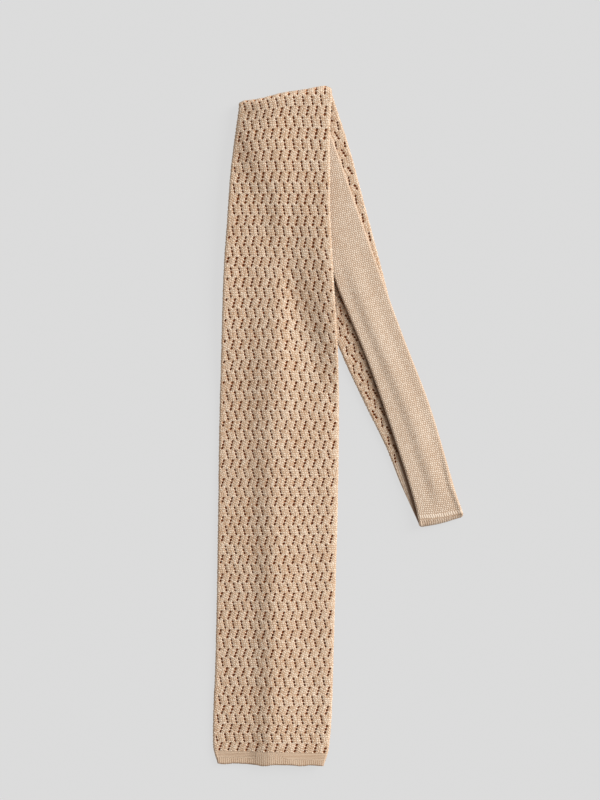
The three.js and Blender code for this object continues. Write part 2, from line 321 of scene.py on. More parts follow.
@dataclass
class FoldedTie:
    """The whole tube as it lies: four straight runs and the folds between them, with every size of it."""

    blade_length: float = 415.6 * MM
    blade_width: float = 75 * MM
    top_fold_width: float = 58.5 * MM
    back_length: float = 280 * MM
    neck_width: float = 27.5 * MM
    tail_width: float = 34 * MM
    hem_length: float = 9 * MM
    plain_before_neck: float = 42 * MM
    plain_after_top: float = 25 * MM
    tail_shortfall: float = 2 * MM
    fold_nest: float = 1 * MM
    wall: float = 1 * MM
    hollow: float = 0.4 * MM
    gap: float = 0.3 * MM
    front_lean: float = -1.3
    back_lean: float = 20.2
    strap_lean: float = 19.0
    tail_lean: float = 0.1
    top_fold_angle: float = 7.8
    neck_fold_angle: float = 8.5
    corner_start: float = 0.85
    corner_depth: float = 0.4
    # How far the painted shade beside the strap's left edge reaches, over the share along the strap.
    gap_shade_reach: Curve = Curve((0, .33, .45, 1), (2.8 * MM, 2.5 * MM, 1.6 * MM, 1.3 * MM))
    nudges: tuple[Nudge, ...] = (Nudge((111 * MM, -262 * MM), (0.5 * MM, 2.4 * MM), 11 * MM),
                                 Nudge((-15 * MM, 3 * MM), (0.0, -2.2 * MM), 13 * MM),
                                 Nudge((10 * MM, 6 * MM), (0.0, -0.8 * MM), 11 * MM))
    origin: Array = field(default_factory=lambda: np.zeros(2))
    runs: dict[str, Run] = field(init=False)
    stretches: list[tuple[float, float, Run | Fold, bool]] = field(init=False)
    starts: dict[str, float] = field(init=False)

    def __post_init__(self) -> None:
        """Works out the runs, and then the order and the lengths of the stretches along the tube."""
        self.runs = self.lay_runs()
        self.stretches, self.starts = self.join_stretches()

    @property
    def radius(self) -> float:
        """Radius of the tube's folded side edges, half its thickness."""
        return self.wall + self.hollow / 2

    @property
    def pitch(self) -> float:
        """Height of one layer on another."""
        return 2 * self.radius + self.gap

    def lay_runs(self) -> dict[str, Run]:
        """The four runs, each from where the one before ends."""
        top = self.top_fold_width / 2 / self.blade_width
        front_at = (0, .05, .1, .17, .26, .38, .5, .65, .84, .93, .975, .988, 1)
        front_edges = SideEdges(
            Curve(front_at, (-top, -.418, -.442, -.46, -.482, -.488, -.49, -.482, -.478, -.486, -.48, -.463,
                             -.44)),
            Curve(front_at, (top, .377, .383, .393, .432, .486, .507, .511, .504, .5, .482, .464, .442)),
            0.0, self.blade_width)
        back_at = (0, .11, .19, .3, .41, .52, .6, .7, .81, .9, 1)
        back_edges = SideEdges(
            Curve(back_at, (-1, -.78, -.68, -.62, -.6, -.57, -.51, -.35, -.15, -.12, 0)),
            Curve(back_at, (1, .9, .79, .61, .43, .23, .14, .1, .08, .06, 0)),
            self.neck_width / 2, (self.top_fold_width - self.neck_width) / 2)
        strap_at = (0, .04, .12, .26, .42, .6, 1)
        strap_edges = SideEdges(
            Curve((0, .04, .12, .2, .26, .36, .42, .5, .58, 1),
                  (-.49, -.44, -.4, -.385, -.378, -.382, -.4, -.45, -.495, -.5)),
            Curve(strap_at, (.5, .53, .57, .62, .56, .53, .5)), 0.0, self.neck_width)
        neck = self.neck_width / 2 / self.tail_width
        tail_at = (0, .1, .3, .6, .9, 1)
        tail_edges = SideEdges(
            Curve(tail_at, (-neck, -.41, -.43, -.49, -.5, -.55)),
            Curve(tail_at, (neck, .41, .44, .48, .48, .42)), 0.0, self.tail_width)

        front = Run(self.origin, self.front_lean, True, self.blade_length, front_edges, 1,
                    fold_at_start=self.top_fold_angle,
                    swells=(Swell(straight(.04), (.3, .3), .7 * MM, (.02, .14), (.38, .5)),
                            Swell(straight(1), (.42, .42), .8 * MM, (.03, .15), (.28, .4)),
                            Swell(Curve((0, .4, .6, 1), (-.18, -.18, -.12, -.1)), (.95, .9), 2.1 * MM,
                                  (.2, .6), (.94, 1.04)),
                            Swell(Curve((.05, .15, .24, .33, .45), (-.75, -.55, -.14, -.04, -.1)),
                                  (.9, .7), 1.35 * MM, (.06, .14), (.38, .5)),
                            Swell(straight(-1), (.2, 1.3), 4.4 * MM, (.0, .08), (.26, .5))))
        back = Run(self.origin, self.back_lean, True, self.back_length, back_edges, -1,
                   self.top_fold_angle, self.neck_fold_angle, drape_reach=straight(18 * MM))
        neck_centre = back.at(np.array(self.back_length), np.array(0.0))
        strap_length = reach_to(neck_centre, unit(self.strap_lean + 90), self.origin,
                                self.top_fold_angle, self.fold_nest)
        strap = Run(neck_centre, self.strap_lean, False, strap_length, strap_edges, 1,
                    self.neck_fold_angle, self.top_fold_angle,
                    creases=(Swell(Curve((.06, .09, .15, .21, .34, .44, .52, .66),
                                         (.14, .13, .06, .04, -.09, -.16, -.16, -.14)), (.48, .7),
                                   .9 * MM, (.01, .1), (.5, .7)),
                             Swell(Curve((0, .05, .08, .14), (.95, .9, .84, .96)), (.2, .2), .6 * MM,
                                   (-.01, .0), (.1, .16))),
                    drape_reach=Curve((0, .3, .5, .6, .7, .85, 1),
                                      (16 * MM, 18 * MM, 26 * MM, 25 * MM, 23 * MM, 28 * MM, 36 * MM)))
        strap_top = strap.at(np.array(strap_length), np.array(0.0))
        front_end = front.at(np.array(self.blade_length), np.array(0.0))
        tail_length = reach_to(strap_top, unit(self.tail_lean - 90), front_end, self.front_lean,
                               self.tail_shortfall)
        tail = Run(strap_top, self.tail_lean, True, tail_length, tail_edges, -1,
                   fold_at_start=self.top_fold_angle, drape_margin=(-3.6 * MM, 1.2 * MM),
                   drape_reach=Curve((0, .12, .3, .5, .7, 1),
                                     (36 * MM, 30 * MM, 24 * MM, 20 * MM, 16 * MM, 16 * MM)))
        return {"back": back, "strap": strap, "tail": tail, "front": front}

    def join_stretches(self) -> tuple[list[tuple[float, float, Run | Fold, bool]], dict[str, float]]:
        """Puts runs and folds end to end along the tube, from the wide end.

        Returns:
            Each stretch as its start, its end, what it is and whether it is walked backwards, and the
            starts by name.
        """
        runs = self.runs
        top_arc, neck_arc = math.pi * 1.5 * self.pitch, math.pi * 0.5 * self.pitch
        order = [
            ("front", runs["front"].length, runs["front"], True),
            ("top_fold", top_arc, Fold(runs["front"], False, runs["back"]), False),
            ("back", runs["back"].length, runs["back"], False),
            ("neck_fold", neck_arc, Fold(runs["back"], True, runs["strap"]), False),
            ("strap", runs["strap"].length, runs["strap"], False),
            ("inner_fold", neck_arc, Fold(runs["strap"], True, runs["tail"]), False),
            ("tail", runs["tail"].length, runs["tail"], False),
        ]
        stretches, starts, reached = [], {}, 0.0
        for name, length, what, backwards in order:
            starts[name] = reached
            stretches.append((reached, reached + length, what, backwards))
            reached += length
        starts["end"] = reached
        return stretches, starts

    def middle_height(self, run: Run, point: Array) -> Array:
        """Height of a run's middle: half a tube, plus a layer for each lower run as far as it covers."""
        order = list(self.runs.values())
        below = order[:[lower is run for lower in order].index(True)]
        layers = sum((lower.cover(point) for lower in below), np.zeros(point.shape[:-1]))
        return self.radius + self.pitch * layers

    def spread(self, along: Array) -> list[Array]:
        """Which places are in each stretch; the first and last stretch take those beyond the tube's ends."""
        ends = [end for _, end, _, _ in self.stretches[:-1]]
        stretch = np.searchsorted(ends, along)
        return [stretch == number for number in range(len(self.stretches))]

    def sides(self, along: Array) -> tuple[Array, Array]:
        """Left and right edge of the tube at distances along it."""
        left, right = np.zeros_like(along), np.zeros_like(along)
        for here, (start, end, what, backwards) in zip(self.spread(along), self.stretches):
            if isinstance(what, Fold):
                left[here], right[here] = what.run.sides(what.along(along[here]))
            else:
                left[here], right[here] = what.sides(end - along[here] if backwards else along[here] - start)
        return left, right

    def lay(self, along: Array, across: Array, rise: Array) -> Array:
        """Where points of the tube lie.

        Args:
            along: Distance along the tube from its wide end.
            across: Distance to the right of its middle line.
            rise: Height above the middle of the tube's thickness, towards its outer wall.

        Returns:
            An array of points, one row each.
        """
        points = np.zeros((len(along), 3))
        for here, (start, end, what, backwards) in zip(self.spread(along), self.stretches):
            if here.any():
                local = end - along[here] if backwards else along[here] - start
                if isinstance(what, Fold):
                    turn = math.pi * local / (end - start)
                    points[here] = self.lay_fold(what, turn, across[here], rise[here])
                else:
                    points[here] = self.lay_run(what, local, across[here], rise[here])
        for nudge in self.nudges:
            points[:, :2] += nudge.read(points[:, :2] - self.origin)
        return points

    def lay_run(self, run: Run, along: Array, across: Array, rise: Array) -> Array:
        """Points of a straight run: its floor place, at its middle height plus the lift plus the rise."""
        floor = run.at(along, across)
        upward = rise * run.face_up
        height = self.middle_height(run, floor) + run.lift(along, across, ease(upward, 0, self.wall / 4))
        return np.column_stack([floor, height + upward])

    def lay_fold(self, fold: Fold, turn: Array, across: Array, rise: Array) -> Array:
        """Points round a fold: a half circle between the heights of its two runs, pinched at its corners."""
        run, along = fold.run, fold.along(across)
        floor = run.at(along, across)
        high, low = self.middle_height(run, floor), self.middle_height(fold.onto, floor)
        half = (high - low) / 2
        corner = 1 - self.corner_depth * ease(np.abs(run.centred(along, across)), self.corner_start, 1)
        out = (np.abs(half) * corner + rise * np.sign(half) * run.face_up) * np.sin(turn)
        height = (high + low) / 2 + (half + rise * run.face_up) * np.cos(turn)
        return np.column_stack([floor + out[:, None] * fold.outward(), height])

    def in_painted_gap_shade(self, along: Array, placed: Array) -> Array:
        """How much painted shade points get in the gap between the back run and the strap's left edge, from
        0 to 1.
        """
        strap = self.runs["strap"]
        mid_fold = (self.starts["neck_fold"] + self.starts["strap"]) / 2
        on_back = (along >= self.starts["back"]) & (along < mid_fold)
        up, across = strap.locate(placed[:, :2])
        reach = self.gap_shade_reach.read(up / strap.length)
        # Painted shade: darkest right beside the strap's left edge, where the strap shades the back run.
        painted_gap_shade = 1 - ease(strap.sides(up)[0] - across, reach * 0.4, reach)
        return painted_gap_shade * on_back * (across < 0)

    def moved_to_frame(self) -> "FoldedTie":
        """The same tie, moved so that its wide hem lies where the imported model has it."""
        lowest = np.array(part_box("wide_hem")[0])
        ends = np.array([0, self.hem_length - self.gap / 2])
        along = self.blade_length - np.tile(ends, 2)
        corners = self.runs["front"].at(along, np.concatenate(self.sides(ends)))
        return FoldedTie(origin=self.origin + lowest[:2] - corners.min(axis=0))


def reach_to(start: Array, heading: Array, line_point: Array, line_angle: float, short: float) -> float:
    """How far along a heading a line is met, less a distance short of that line."""
    normal = unit(line_angle + 90)
    return float((line_point - start) @ normal / (heading @ normal) - short / abs(heading @ normal))


def zip_rings(outer_at: Array, inner_at: Array) -> tuple[Array, Array]:
    """Triangles between two closed rings of points, each given by its places round, from 0 to 1.

    Each step of either ring makes one triangle with the point that the other ring has reached by then.

    Returns:
        Two arrays of three columns. In the first the columns are two outer points and an inner one, in
        the second an inner point, an outer one and the next inner one.
    """
    outer_mid = (outer_at + np.append(outer_at[1:], outer_at[0] + 1)) / 2
    inner_mid = (inner_at + np.append(inner_at[1:], inner_at[0] + 1)) / 2
    m, n = len(outer_at), len(inner_at)
    i, j = np.arange(m), np.arange(n)
    to_inner = np.searchsorted(inner_mid, outer_mid, side="left") % n
    to_outer = np.searchsorted(outer_mid, inner_mid, side="right") % m
    return np.column_stack([i, (i + 1) % m, to_inner]), np.column_stack([j, to_outer, (j + 1) % n])


class Shell:
    """Points and triangles of a knitted shell, in the tube's own measures until it is laid down."""

    def __init__(self, tie: FoldedTie) -> None:
        """An empty shell of this tie."""
        self.tie = tie
        self.points: list[Array] = []
        self.triangles: list[Array] = []
        self.count = 0

    def add_points(self, along: Array, across: Array, rise: Array | float, wale: Array | float,
                   course: Array | float, inside: Array | float, tone: Array | float = 0.0) -> Array:
        """Adds points and gives their numbers, in the shape of the arrays.

        Args:
            along: Distance along the tube.
            across: Distance across it.
            rise: Height in it.
            wale: Stitches counted across, for the knitted finish.
            course: Stitches counted along.
            inside: 0 on the outer faces to 1 on the inner ones; it brings in the inside colour, partly
                painted shade in the holes.
            tone: How much lighter the yarn is painted there, from -1 to 1, with painted highlights and
                painted shade among it.
        """
        parts = np.broadcast_arrays(along, across, rise, wale, course, inside, tone)
        self.points.append(np.column_stack([part.ravel() for part in parts]).astype(float))
        numbers = self.count + np.arange(parts[0].size).reshape(parts[0].shape)
        self.count += parts[0].size
        return numbers

    def add_triangles(self, a: Array, b: Array, c: Array, flip: bool = False) -> None:
        """Adds triangles by their corners' numbers, turned over if asked, without those of no size."""
        corners = np.column_stack([x.ravel() for x in np.broadcast_arrays(a, b, c)])
        real = (corners != np.roll(corners, 1, axis=1)).all(axis=1)
        self.triangles.append(corners[real][:, ::-1] if flip else corners[real])

    def add_quads(self, a: Array, b: Array, c: Array, d: Array, flip: bool = False) -> None:
        """Adds four-cornered faces, each as two triangles."""
        self.add_triangles(a, b, c, flip)
        self.add_triangles(a, c, d, flip)

    def add_strip(self, numbers: Array, flip: bool = False, closed: bool = False) -> None:
        """Adds the faces of a grid of points, rows along the tube and columns across it."""
        if closed:
            numbers = np.column_stack([numbers, numbers[:, :1]])
        self.add_quads(numbers[:-1, :-1], numbers[:-1, 1:], numbers[1:, 1:], numbers[1:, :-1], flip)

    def add_ring(self, outer: Array, outer_at: Array, inner: Array, inner_at: Array,
                 flip: bool = False) -> None:
        """Adds the faces between rings of points, one pair of rings in each row of the two arrays."""
        two_outer, two_inner = (numbers.T for numbers in zip_rings(outer_at, inner_at))
        self.add_triangles(outer[:, two_outer[0]], outer[:, two_outer[1]], inner[:, two_outer[2]], flip)
        self.add_triangles(inner[:, two_inner[0]], outer[:, two_inner[1]], inner[:, two_inner[2]], flip)

    def close_ends(self, outer: Array, outer_at: Array, inner: Array, inner_at: Array) -> None:
        """Closes both ends of a tube, given its outer and inner loop there, first and last."""
        for end, flip in ((0, True), (-1, False)):
            self.add_ring(outer[end][None], outer_at[end], inner[end][None], inner_at[end], flip)

    def make(self, name: str, material: bpy.types.Material) -> bpy.types.Object:
        """Lays the shell down as a mesh object.

        Args:
            name: The object's name.
            material: Its finish.

        Returns:
            The object, with the stitch counts as its UV map, and the inside share, the tone and how much
            painted shade it gets in the gap beside the strap as attributes.
        """
        points, corners = np.concatenate(self.points), np.concatenate(self.triangles)
        used, corners = np.unique(corners, return_inverse=True)
        corners = corners.reshape(-1, 3)
        points = points[used]
        placed = self.tie.lay(*points[:, :3].T)
        mesh = bpy.data.meshes.new(name)
        mesh.vertices.add(len(placed))
        mesh.vertices.foreach_set("co", placed.astype(np.float32).ravel())
        mesh.loops.add(corners.size)
        mesh.loops.foreach_set("vertex_index", corners.astype(np.int32).ravel())
        mesh.polygons.add(len(corners))
        mesh.polygons.foreach_set("loop_start", np.arange(0, corners.size, 3, dtype=np.int32))
        stitches = mesh.uv_layers.new(name="Stitches")
        stitches.uv.foreach_set("vector", points[corners.ravel(), 3:5].astype(np.float32).ravel())
        # The gap attribute is painted shade in the gap beside the strap.
        carried = {"inside": points[:, 5], "tone": points[:, 6],
                   "gap": self.tie.in_painted_gap_shade(points[:, 0], placed)}
        for label, values in carried.items():
            attribute = mesh.attributes.new(label, "FLOAT", "POINT")
            attribute.data.foreach_set("value", values.astype(np.float32))
        mesh.update(calc_edges=True)
        mesh.validate()
        mesh.polygons.foreach_set("use_smooth", np.ones(len(mesh.polygons), bool))
        mesh.set_sharp_from_angle(angle=SHARP_FROM)
        mesh.materials.append(material)
        LOG.info("%s: %d triangles", name, len(mesh.polygons))
        return show(name, mesh)


class Wall(Enum):
    """The two walls of the flattened tube, and which way each lies from its middle."""

    OUTER = 1
    UNDER = -1


@dataclass(frozen=True)
class LaceRows:
    """Rows and columns of the lace on the tube, in steps of one hole.

    Three rows of holes slant one way and the next three the other, so that the columns run in zigzags,
    and every second place across has a hole. The places swap from one group of three to the next. The
    columns crowd and spread across the cloth, and the rows bow, as knitting does when it is pulled.

    Args:
        row_line: Distance along the tube over the row's number.
        marks: A few places across at which the columns and the bow are given.
        columns: Number of the column at each mark, over the distance along.
        bows: How many rows the cloth there lags behind, over the distance along.
        sways: How far a zigzag goes to the side, over the distance along.
        straight_until: Distance along up to which the rows are straight.
    """

    row_line: Curve
    marks: tuple[float, ...]
    columns: tuple[Curve, ...]
    bows: tuple[Curve, ...]
    sways: Curve
    straight_until: float = 0.0
    group: int = 3
    wales_per_column: float = 1.0
    courses_per_row: float = 1.5

    def along(self, row: Array) -> Array:
        """Distance along the tube of a row, before it bows."""
        return self.row_line.read(row)

    def shift(self, row: Array) -> Array:
        """Sideways shift of a row: a zigzag, one group to the right and one group back."""
        zigzag = 1 - np.abs(np.mod(row / self.group, 2) - 1)
        return self.sways.read(self.along(row)) * (zigzag - 0.5)

    def between(self, curves: tuple[Curve, ...], across: Array, along: Array) -> Array:
        """Value at a place of what curves give at the marks, by straight lines that run on at the sides."""
        marks = np.array(self.marks)
        values = np.stack([np.broadcast_to(curve.read(along), across.shape) for curve in curves])
        i = np.clip(np.searchsorted(marks, across) - 1, 0, len(marks) - 2)
        low, high = (np.take_along_axis(values, k[None], axis=0)[0] for k in (i, i + 1))
        return low + (high - low) * (across - marks[i]) / (marks[i + 1] - marks[i])

    def column(self, across: Array, row: Array) -> Array:
        """The column's number at a sideways place."""
        return self.between(self.columns, across - self.shift(row), self.along(row))

    def across(self, column: Array, row: Array) -> Array:
        """Sideways place of a column: the inverse of column, as its lines are straight between marks."""
        along, marks = self.along(row), np.array(self.marks)
        values = np.stack([np.broadcast_to(curve.read(along), column.shape) for curve in self.columns])
        i = np.clip((values < column).sum(axis=0) - 1, 0, len(marks) - 2)
        low, high = (np.take_along_axis(values, k[None], axis=0)[0] for k in (i, i + 1))
        return self.shift(row) + marks[i] + (marks[i + 1] - marks[i]) * (column - low) / (high - low)

    def width(self, column: Array, row: Array) -> Array:
        """Width of a column at a row."""
        return self.across(column + 0.5, row) - self.across(column - 0.5, row)

    def bow(self, across: Array, along: Array) -> Array:
        """How far along the tube the cloth is shifted by the bow of its rows."""
        line, bent_by = self.row_line, self.straight_until + 12 * MM
        pitch = (line.value[-1] - line.value[0]) / (line.at[-1] - line.at[0])
        held = np.clip(across, self.marks[0], self.marks[-1])
        lag = self.between(self.bows, held, along) * ease(along, self.straight_until, bent_by)
        return -lag * pitch


@dataclass(frozen=True)
class HoleForm:
    """How finely the holes of a wall are made.

    Args:
        points: Points round a hole.
        soft_rim: Whether the cloth rolls in round it.
    """

    points: int
    soft_rim: bool


SEEN = HoleForm(12, True)
HIDDEN = HoleForm(8, False)


@dataclass
class LaceTube:
    """A length of pierced tube.

    Args:
        tie: The tie that it is part of.
        rows: Its rows and columns.
        first: First row line.
        last: Last row line.
        forms: How the holes of each wall are made.
        trim: How far it stops short of a neighbour at its first and last row.
        hole_wide: Half widths of the holes that slant one way and the other.
        hole_long: Half lengths of those holes, in rows.
        rim_reach: Size of the soft rim, in hole sizes.
        rim_drop: How far the rim rolls in.
        swelling: Most that a cell without a hole swells.
        bead: Height of the beads of yarn beside the holes.
        scallop: Depth of the scallops along the folded side edges.
        edge_steps: Steps round a side edge.
        unevenness: How much the holes' sizes differ, as a share.
        bead_highlight: How much lighter the beads are painted, a painted highlight.
        cross_shade: How much darker the cloth between two beads is painted, a painted shade.
        least_chance: What is taken off the chance for a cell, and added to it for a bead.
        hole_margin: Least cloth between a hole and a folded side edge.
        hole_stray: How far a hole strays sideways, in columns.
        longest_half: Longest half length of a ring round a hole, in rows.
        edge_stitch: Size of a stitch round a side edge.
        right_edge_highlight: How much lighter the right side edge is painted, a painted highlight where it
            faces the light.
        loop_tone: How much lighter or darker the loops make a side edge.
    """

    tie: FoldedTie
    rows: LaceRows
    first: int
    last: int
    forms: dict[Wall, HoleForm]
    trim: tuple[float, float] = (0.0, 0.0)
    hole_wide: tuple[float, float] = (0.71 * MM, 0.59 * MM)
    hole_long: tuple[float, float] = (0.405, 0.385)
    rim_reach: float = 1.25
    rim_drop: float = 0.30 * MM
    swelling: float = 0.12 * MM
    bead: float = 0.12 * MM
    scallop: float = 0.12 * MM
    edge_steps: int = 6
    unevenness: float = 0.16
    bead_highlight: float = 0.6
    cross_shade: float = 0.25
    least_chance: float = 0.2
    hole_margin: float = 0.1 * MM
    hole_stray: float = 0.05
    longest_half: float = 0.465
    edge_stitch: float = 2.8 * MM
    right_edge_highlight: float = 0.05
    loop_tone: float = 0.3

    def build(self) -> Shell:
        """Makes both walls, the folded side edges, the hollow and the closed ends."""
        shell = Shell(self.tie)
        row = np.arange(2 * self.first, 2 * self.last + 1) / 2
        bounds = self.flat_bounds(self.along(row))
        lowest = int(np.floor(self.rows.column(bounds[0], row).min())) - 3
        highest = int(np.ceil(self.rows.column(bounds[1], row).max())) + 3
        column = np.arange(2 * lowest, 2 * highest + 1) / 2
        columns, lines = np.meshgrid(column, row)
        raw = self.rows.across(columns, lines)
        loops = {}
        for wall in Wall:
            skin = self.add_skin(shell, wall, columns, lines, raw, bounds)
            lining = self.add_lining(shell, wall, columns[::2, ::2], lines[::2, ::2], raw[::2, ::2],
                                     tuple(b[::2] for b in bounds))
            self.add_cells(shell, wall, skin, lining, column, row, bounds)
            loops[wall] = (skin, lining)
        self.add_edges(shell, loops, row, bounds)
        return shell

    def put(self, shell: Shell, along: Array, across: Array, rise: Array | float, column: Array, row: Array,
            inside: float, tone: Array | float = 0.0) -> Array:
        """Adds points of the lace, with the bow of its rows and the stitch counts of its place."""
        along, across = np.broadcast_arrays(along, across)
        placed = along + self.rows.bow(across, along)
        wale, course = column * self.rows.wales_per_column, row * self.rows.courses_per_row
        return shell.add_points(placed, across, rise, wale, course, inside, tone)

    def pierced(self, wall: Wall, column: Array, row: Array) -> Array:
        """Whether the cell at a place has a hole: every second one, and the other ones in the under wall."""
        swapped = 1 if wall is Wall.UNDER else 0
        return np.mod(np.floor(column) + np.floor(row / self.rows.group) + swapped, 2) == 0

    def along(self, row: Array) -> Array:
        """Distance along the tube of a row, trimmed a little at the two ends."""
        along = self.rows.along(row)
        along = np.where(row <= self.first, along + self.trim[0], along)
        return np.where(row >= self.last, along - self.trim[1], along)

    def flat_bounds(self, along: Array) -> tuple[Array, Array]:
        """Where the flat of the tube ends and its folded edges begin, left and right."""
        left, right = self.tie.sides(along)
        return left + self.tie.radius, right - self.tie.radius

    @staticmethod
    def hold(numbers: Array, raw: Array, bounds: tuple[Array, Array]) -> Array:
        """Numbers of a grid whose points beyond the bounds are all the last one within reach."""
        first = (raw <= bounds[0][:, None]).sum(axis=1) - 1
        last = raw.shape[1] - (raw >= bounds[1][:, None]).sum(axis=1)
        held = np.clip(np.arange(raw.shape[1])[None], first[:, None], last[:, None])
        return np.take_along_axis(numbers, held, axis=1)

    def add_skin(self, shell: Shell, wall: Wall, columns: Array, lines: Array, raw: Array,
                 bounds: tuple[Array, Array]) -> Array:
        """Points of a wall's outer face: a half-step grid, a little swollen in the middle of its cells."""
        across = np.clip(raw, bounds[0][:, None], bounds[1][:, None])
        held = self.rows.column(across, lines)
        half_column, half_row = np.mod(2 * columns, 2) == 1, np.mod(2 * lines, 2) == 1
        beads = half_row & ~half_column & self.pierced(wall, columns + 0.5, lines)
        chance = scatter(columns, lines, salt=wall.value)
        within = (raw > bounds[0][:, None]) & (raw < bounds[1][:, None])
        raised = within & self.forms[wall].soft_rim
        swell = self.swelling * (half_column & half_row) * (chance - self.least_chance)
        rise = self.tie.radius + raised * (swell + self.bead * beads)
        # Painted highlight on the beads, and painted shade on the cloth between them.
        lighter = self.bead_highlight * beads * (self.least_chance + chance)
        tone = within * (lighter - self.cross_shade * (half_row & ~half_column & ~beads))
        numbers = self.put(shell, self.along(lines), across, rise * wall.value, held, lines, 0.0, tone)
        return self.hold(numbers, raw, bounds)

    def add_lining(self, shell: Shell, wall: Wall, columns: Array, lines: Array, raw: Array,
                   bounds: tuple[Array, Array]) -> Array:
        """Points of a wall's inner face: a grid of whole steps beside the hollow."""
        across = np.clip(raw, bounds[0][:, None], bounds[1][:, None])
        rise = self.tie.hollow / 2 * wall.value
        numbers = self.put(shell, self.along(lines), across, rise, columns, lines, 1.0)
        return self.hold(numbers, raw, bounds)

    def add_cells(self, shell: Shell, wall: Wall, skin: Array, lining: Array, column: Array, row: Array,
                  bounds: tuple[Array, Array]) -> None:
        """Faces of a wall: cells with a hole as rings round it, and plain cells as four small quads."""
        form, flip = self.forms[wall], wall is Wall.UNDER
        i, j = np.meshgrid(np.arange(lining.shape[1] - 1), np.arange(lining.shape[0] - 1))
        cell_column, cell_row = column[::2][i] + 0.5, row[::2][j] + 0.5
        hole = self.pierced(wall, cell_column, cell_row)
        slant = np.mod(np.floor(cell_row / self.rows.group), 2).astype(int)
        salts = (1 + wall.value * 7.0, 2 + wall.value * 7.0)
        chances = [2 * scatter(cell_column, cell_row, salt=salt) - 1 for salt in salts]
        wide = np.array(self.hole_wide)[slant] * (1 + self.unevenness * chances[0])
        half_rows = np.array(self.hole_long)[slant] * (1 + self.unevenness * chances[1])
        width = self.rows.width(cell_column, cell_row)
        centre = self.rows.across(cell_column, cell_row)
        spare = wide + self.hole_margin
        near, far = bounds[0][1::2][j], bounds[1][1::2][j]
        inside = (centre - spare > near) & (centre + spare < far)
        hole &= inside
        pi, pj = 2 * i[~hole], 2 * j[~hole]
        for di, dj in ((0, 0), (1, 0), (0, 1), (1, 1)):
            a, b = pi + di, pj + dj
            shell.add_quads(skin[b, a], skin[b, a + 1], skin[b + 1, a + 1], skin[b + 1, a], flip)
        a, b = i[~hole], j[~hole]
        shell.add_quads(lining[b, a], lining[b, a + 1], lining[b + 1, a + 1], lining[b + 1, a], not flip)

        i, j = i[hole], j[hole]
        frame_steps = np.array([[0, 0], [1, 0], [2, 0], [2, 1], [2, 2], [1, 2], [0, 2], [0, 1]])
        frame = skin[2 * j[:, None] + frame_steps[:, 1], 2 * i[:, None] + frame_steps[:, 0]]
        corner_steps = frame_steps[::2] // 2
        corners = lining[j[:, None] + corner_steps[:, 1], i[:, None] + corner_steps[:, 0]]
        round_at = np.arange(form.points) / form.points
        angle = 2 * math.pi * round_at - 0.75 * math.pi
        half_column = (wide / width)[hole][:, None]
        half_row = half_rows[hole][:, None]
        mid_column, mid_row = cell_column[hole][:, None], cell_row[hole][:, None]
        salt = wall.value * 3.0
        mid_column = mid_column + self.hole_stray * (scatter(mid_column, mid_row, salt=5 + salt) - 0.5)

        def ring(reach: float, rise: float, inside: float) -> Array:
            """Points of one ring round each hole, an oval of a reach times the hole's half sizes."""
            at_row = mid_row + np.minimum(half_row * reach, self.longest_half) * np.sin(angle)
            at_column = mid_column + half_column * reach * np.cos(angle)
            return self.put(shell, self.rows.along(at_row), self.rows.across(at_column, at_row),
                            rise * wall.value, at_column, at_row, inside)

        frame_at, corner_at = np.arange(8) / 8, np.arange(4) / 4
        radius = self.tie.radius
        # The inside share on the rims paints shade rolling down into each hole.
        if form.soft_rim:
            shoulder = ring(self.rim_reach, radius - 0.02 * MM, 0.06)
            rim = ring(1.0, radius - self.rim_drop, 0.5)
            shell.add_ring(frame, frame_at, shoulder, round_at, flip)
            shell.add_ring(shoulder, round_at, rim, round_at, flip)
        else:
            rim = ring(1.0, radius - self.rim_drop / 2, 0.35)
            shell.add_ring(frame, frame_at, rim, round_at, flip)
        under = ring(0.96, self.tie.hollow / 2, 1.0)
        shell.add_ring(rim, round_at, under, round_at, flip)
        shell.add_ring(corners, corner_at, under, round_at, not flip)

    def add_edges(self, shell: Shell, loops: dict[Wall, tuple[Array, Array]], row: Array,
                  bounds: tuple[Array, Array]) -> None:
        """Folded side edges as half rounds, the tips of the hollow, and the two closed ends."""
        radius = self.tie.radius
        turn = math.pi / 2 - math.pi * np.arange(1, self.edge_steps) / self.edge_steps
        along = self.along(row)
        rounds, tips = {}, {}
        wave = self.scallop * (np.cos(2 * math.pi * row) + 2 * scatter(row, salt=3) - 1)
        for side, bound in ((-1, bounds[0]), (1, bounds[1])):
            held = self.rows.column(bound, row)
            arc = radius * (math.pi / 2 - np.abs(turn)) / self.edge_stitch
            out = (radius + wave[:, None]) * np.cos(turn)
            tone, edge = self.edge_tone(side, row)[:, None], bound[:, None] + side * out
            rounds[side] = self.put(shell, along[:, None], edge, radius * np.sin(turn),
                                    held[:, None] + side * arc, row[:, None], 0.0, tone)
            tips[side] = self.put(shell, along[::2], bound[::2] + side * self.tie.hollow / 2, 0.0,
                                  held[::2], row[::2], 1.0)
        (skin, lining), (under_skin, under_lining) = loops[Wall.OUTER], loops[Wall.UNDER]
        right = np.column_stack([skin[:, -1], rounds[1], under_skin[:, -1]])
        left = np.column_stack([under_skin[:, 0], rounds[-1][:, ::-1], skin[:, 0]])
        shell.add_strip(right)
        shell.add_strip(left)
        shell.add_strip(np.column_stack([lining[:, -1], tips[1], under_lining[:, -1]]), flip=True)
        shell.add_strip(np.column_stack([under_lining[:, 0], tips[-1], lining[:, 0]]), flip=True)
        outer = np.column_stack([skin, rounds[1], under_skin[:, ::-1], rounds[-1][:, ::-1]])
        inner = np.column_stack([lining, tips[1], under_lining[:, ::-1], tips[-1]])
        at = [self.places(shell, loop, bounds, edge) for loop, edge in ((outer, len(turn)), (inner, 1))]
        shell.close_ends(outer[[0, -1]], at[0], inner[[0, -1]], at[1])

    def edge_tone(self, side: int, row: Array) -> Array:
        """How light the folded side edge is painted: a chain of loops, with a painted highlight on the
        right, which faces the light.
        """
        return (self.right_edge_highlight if side > 0 else 0.0) + self.loop_tone * np.cos(2 * math.pi * row)

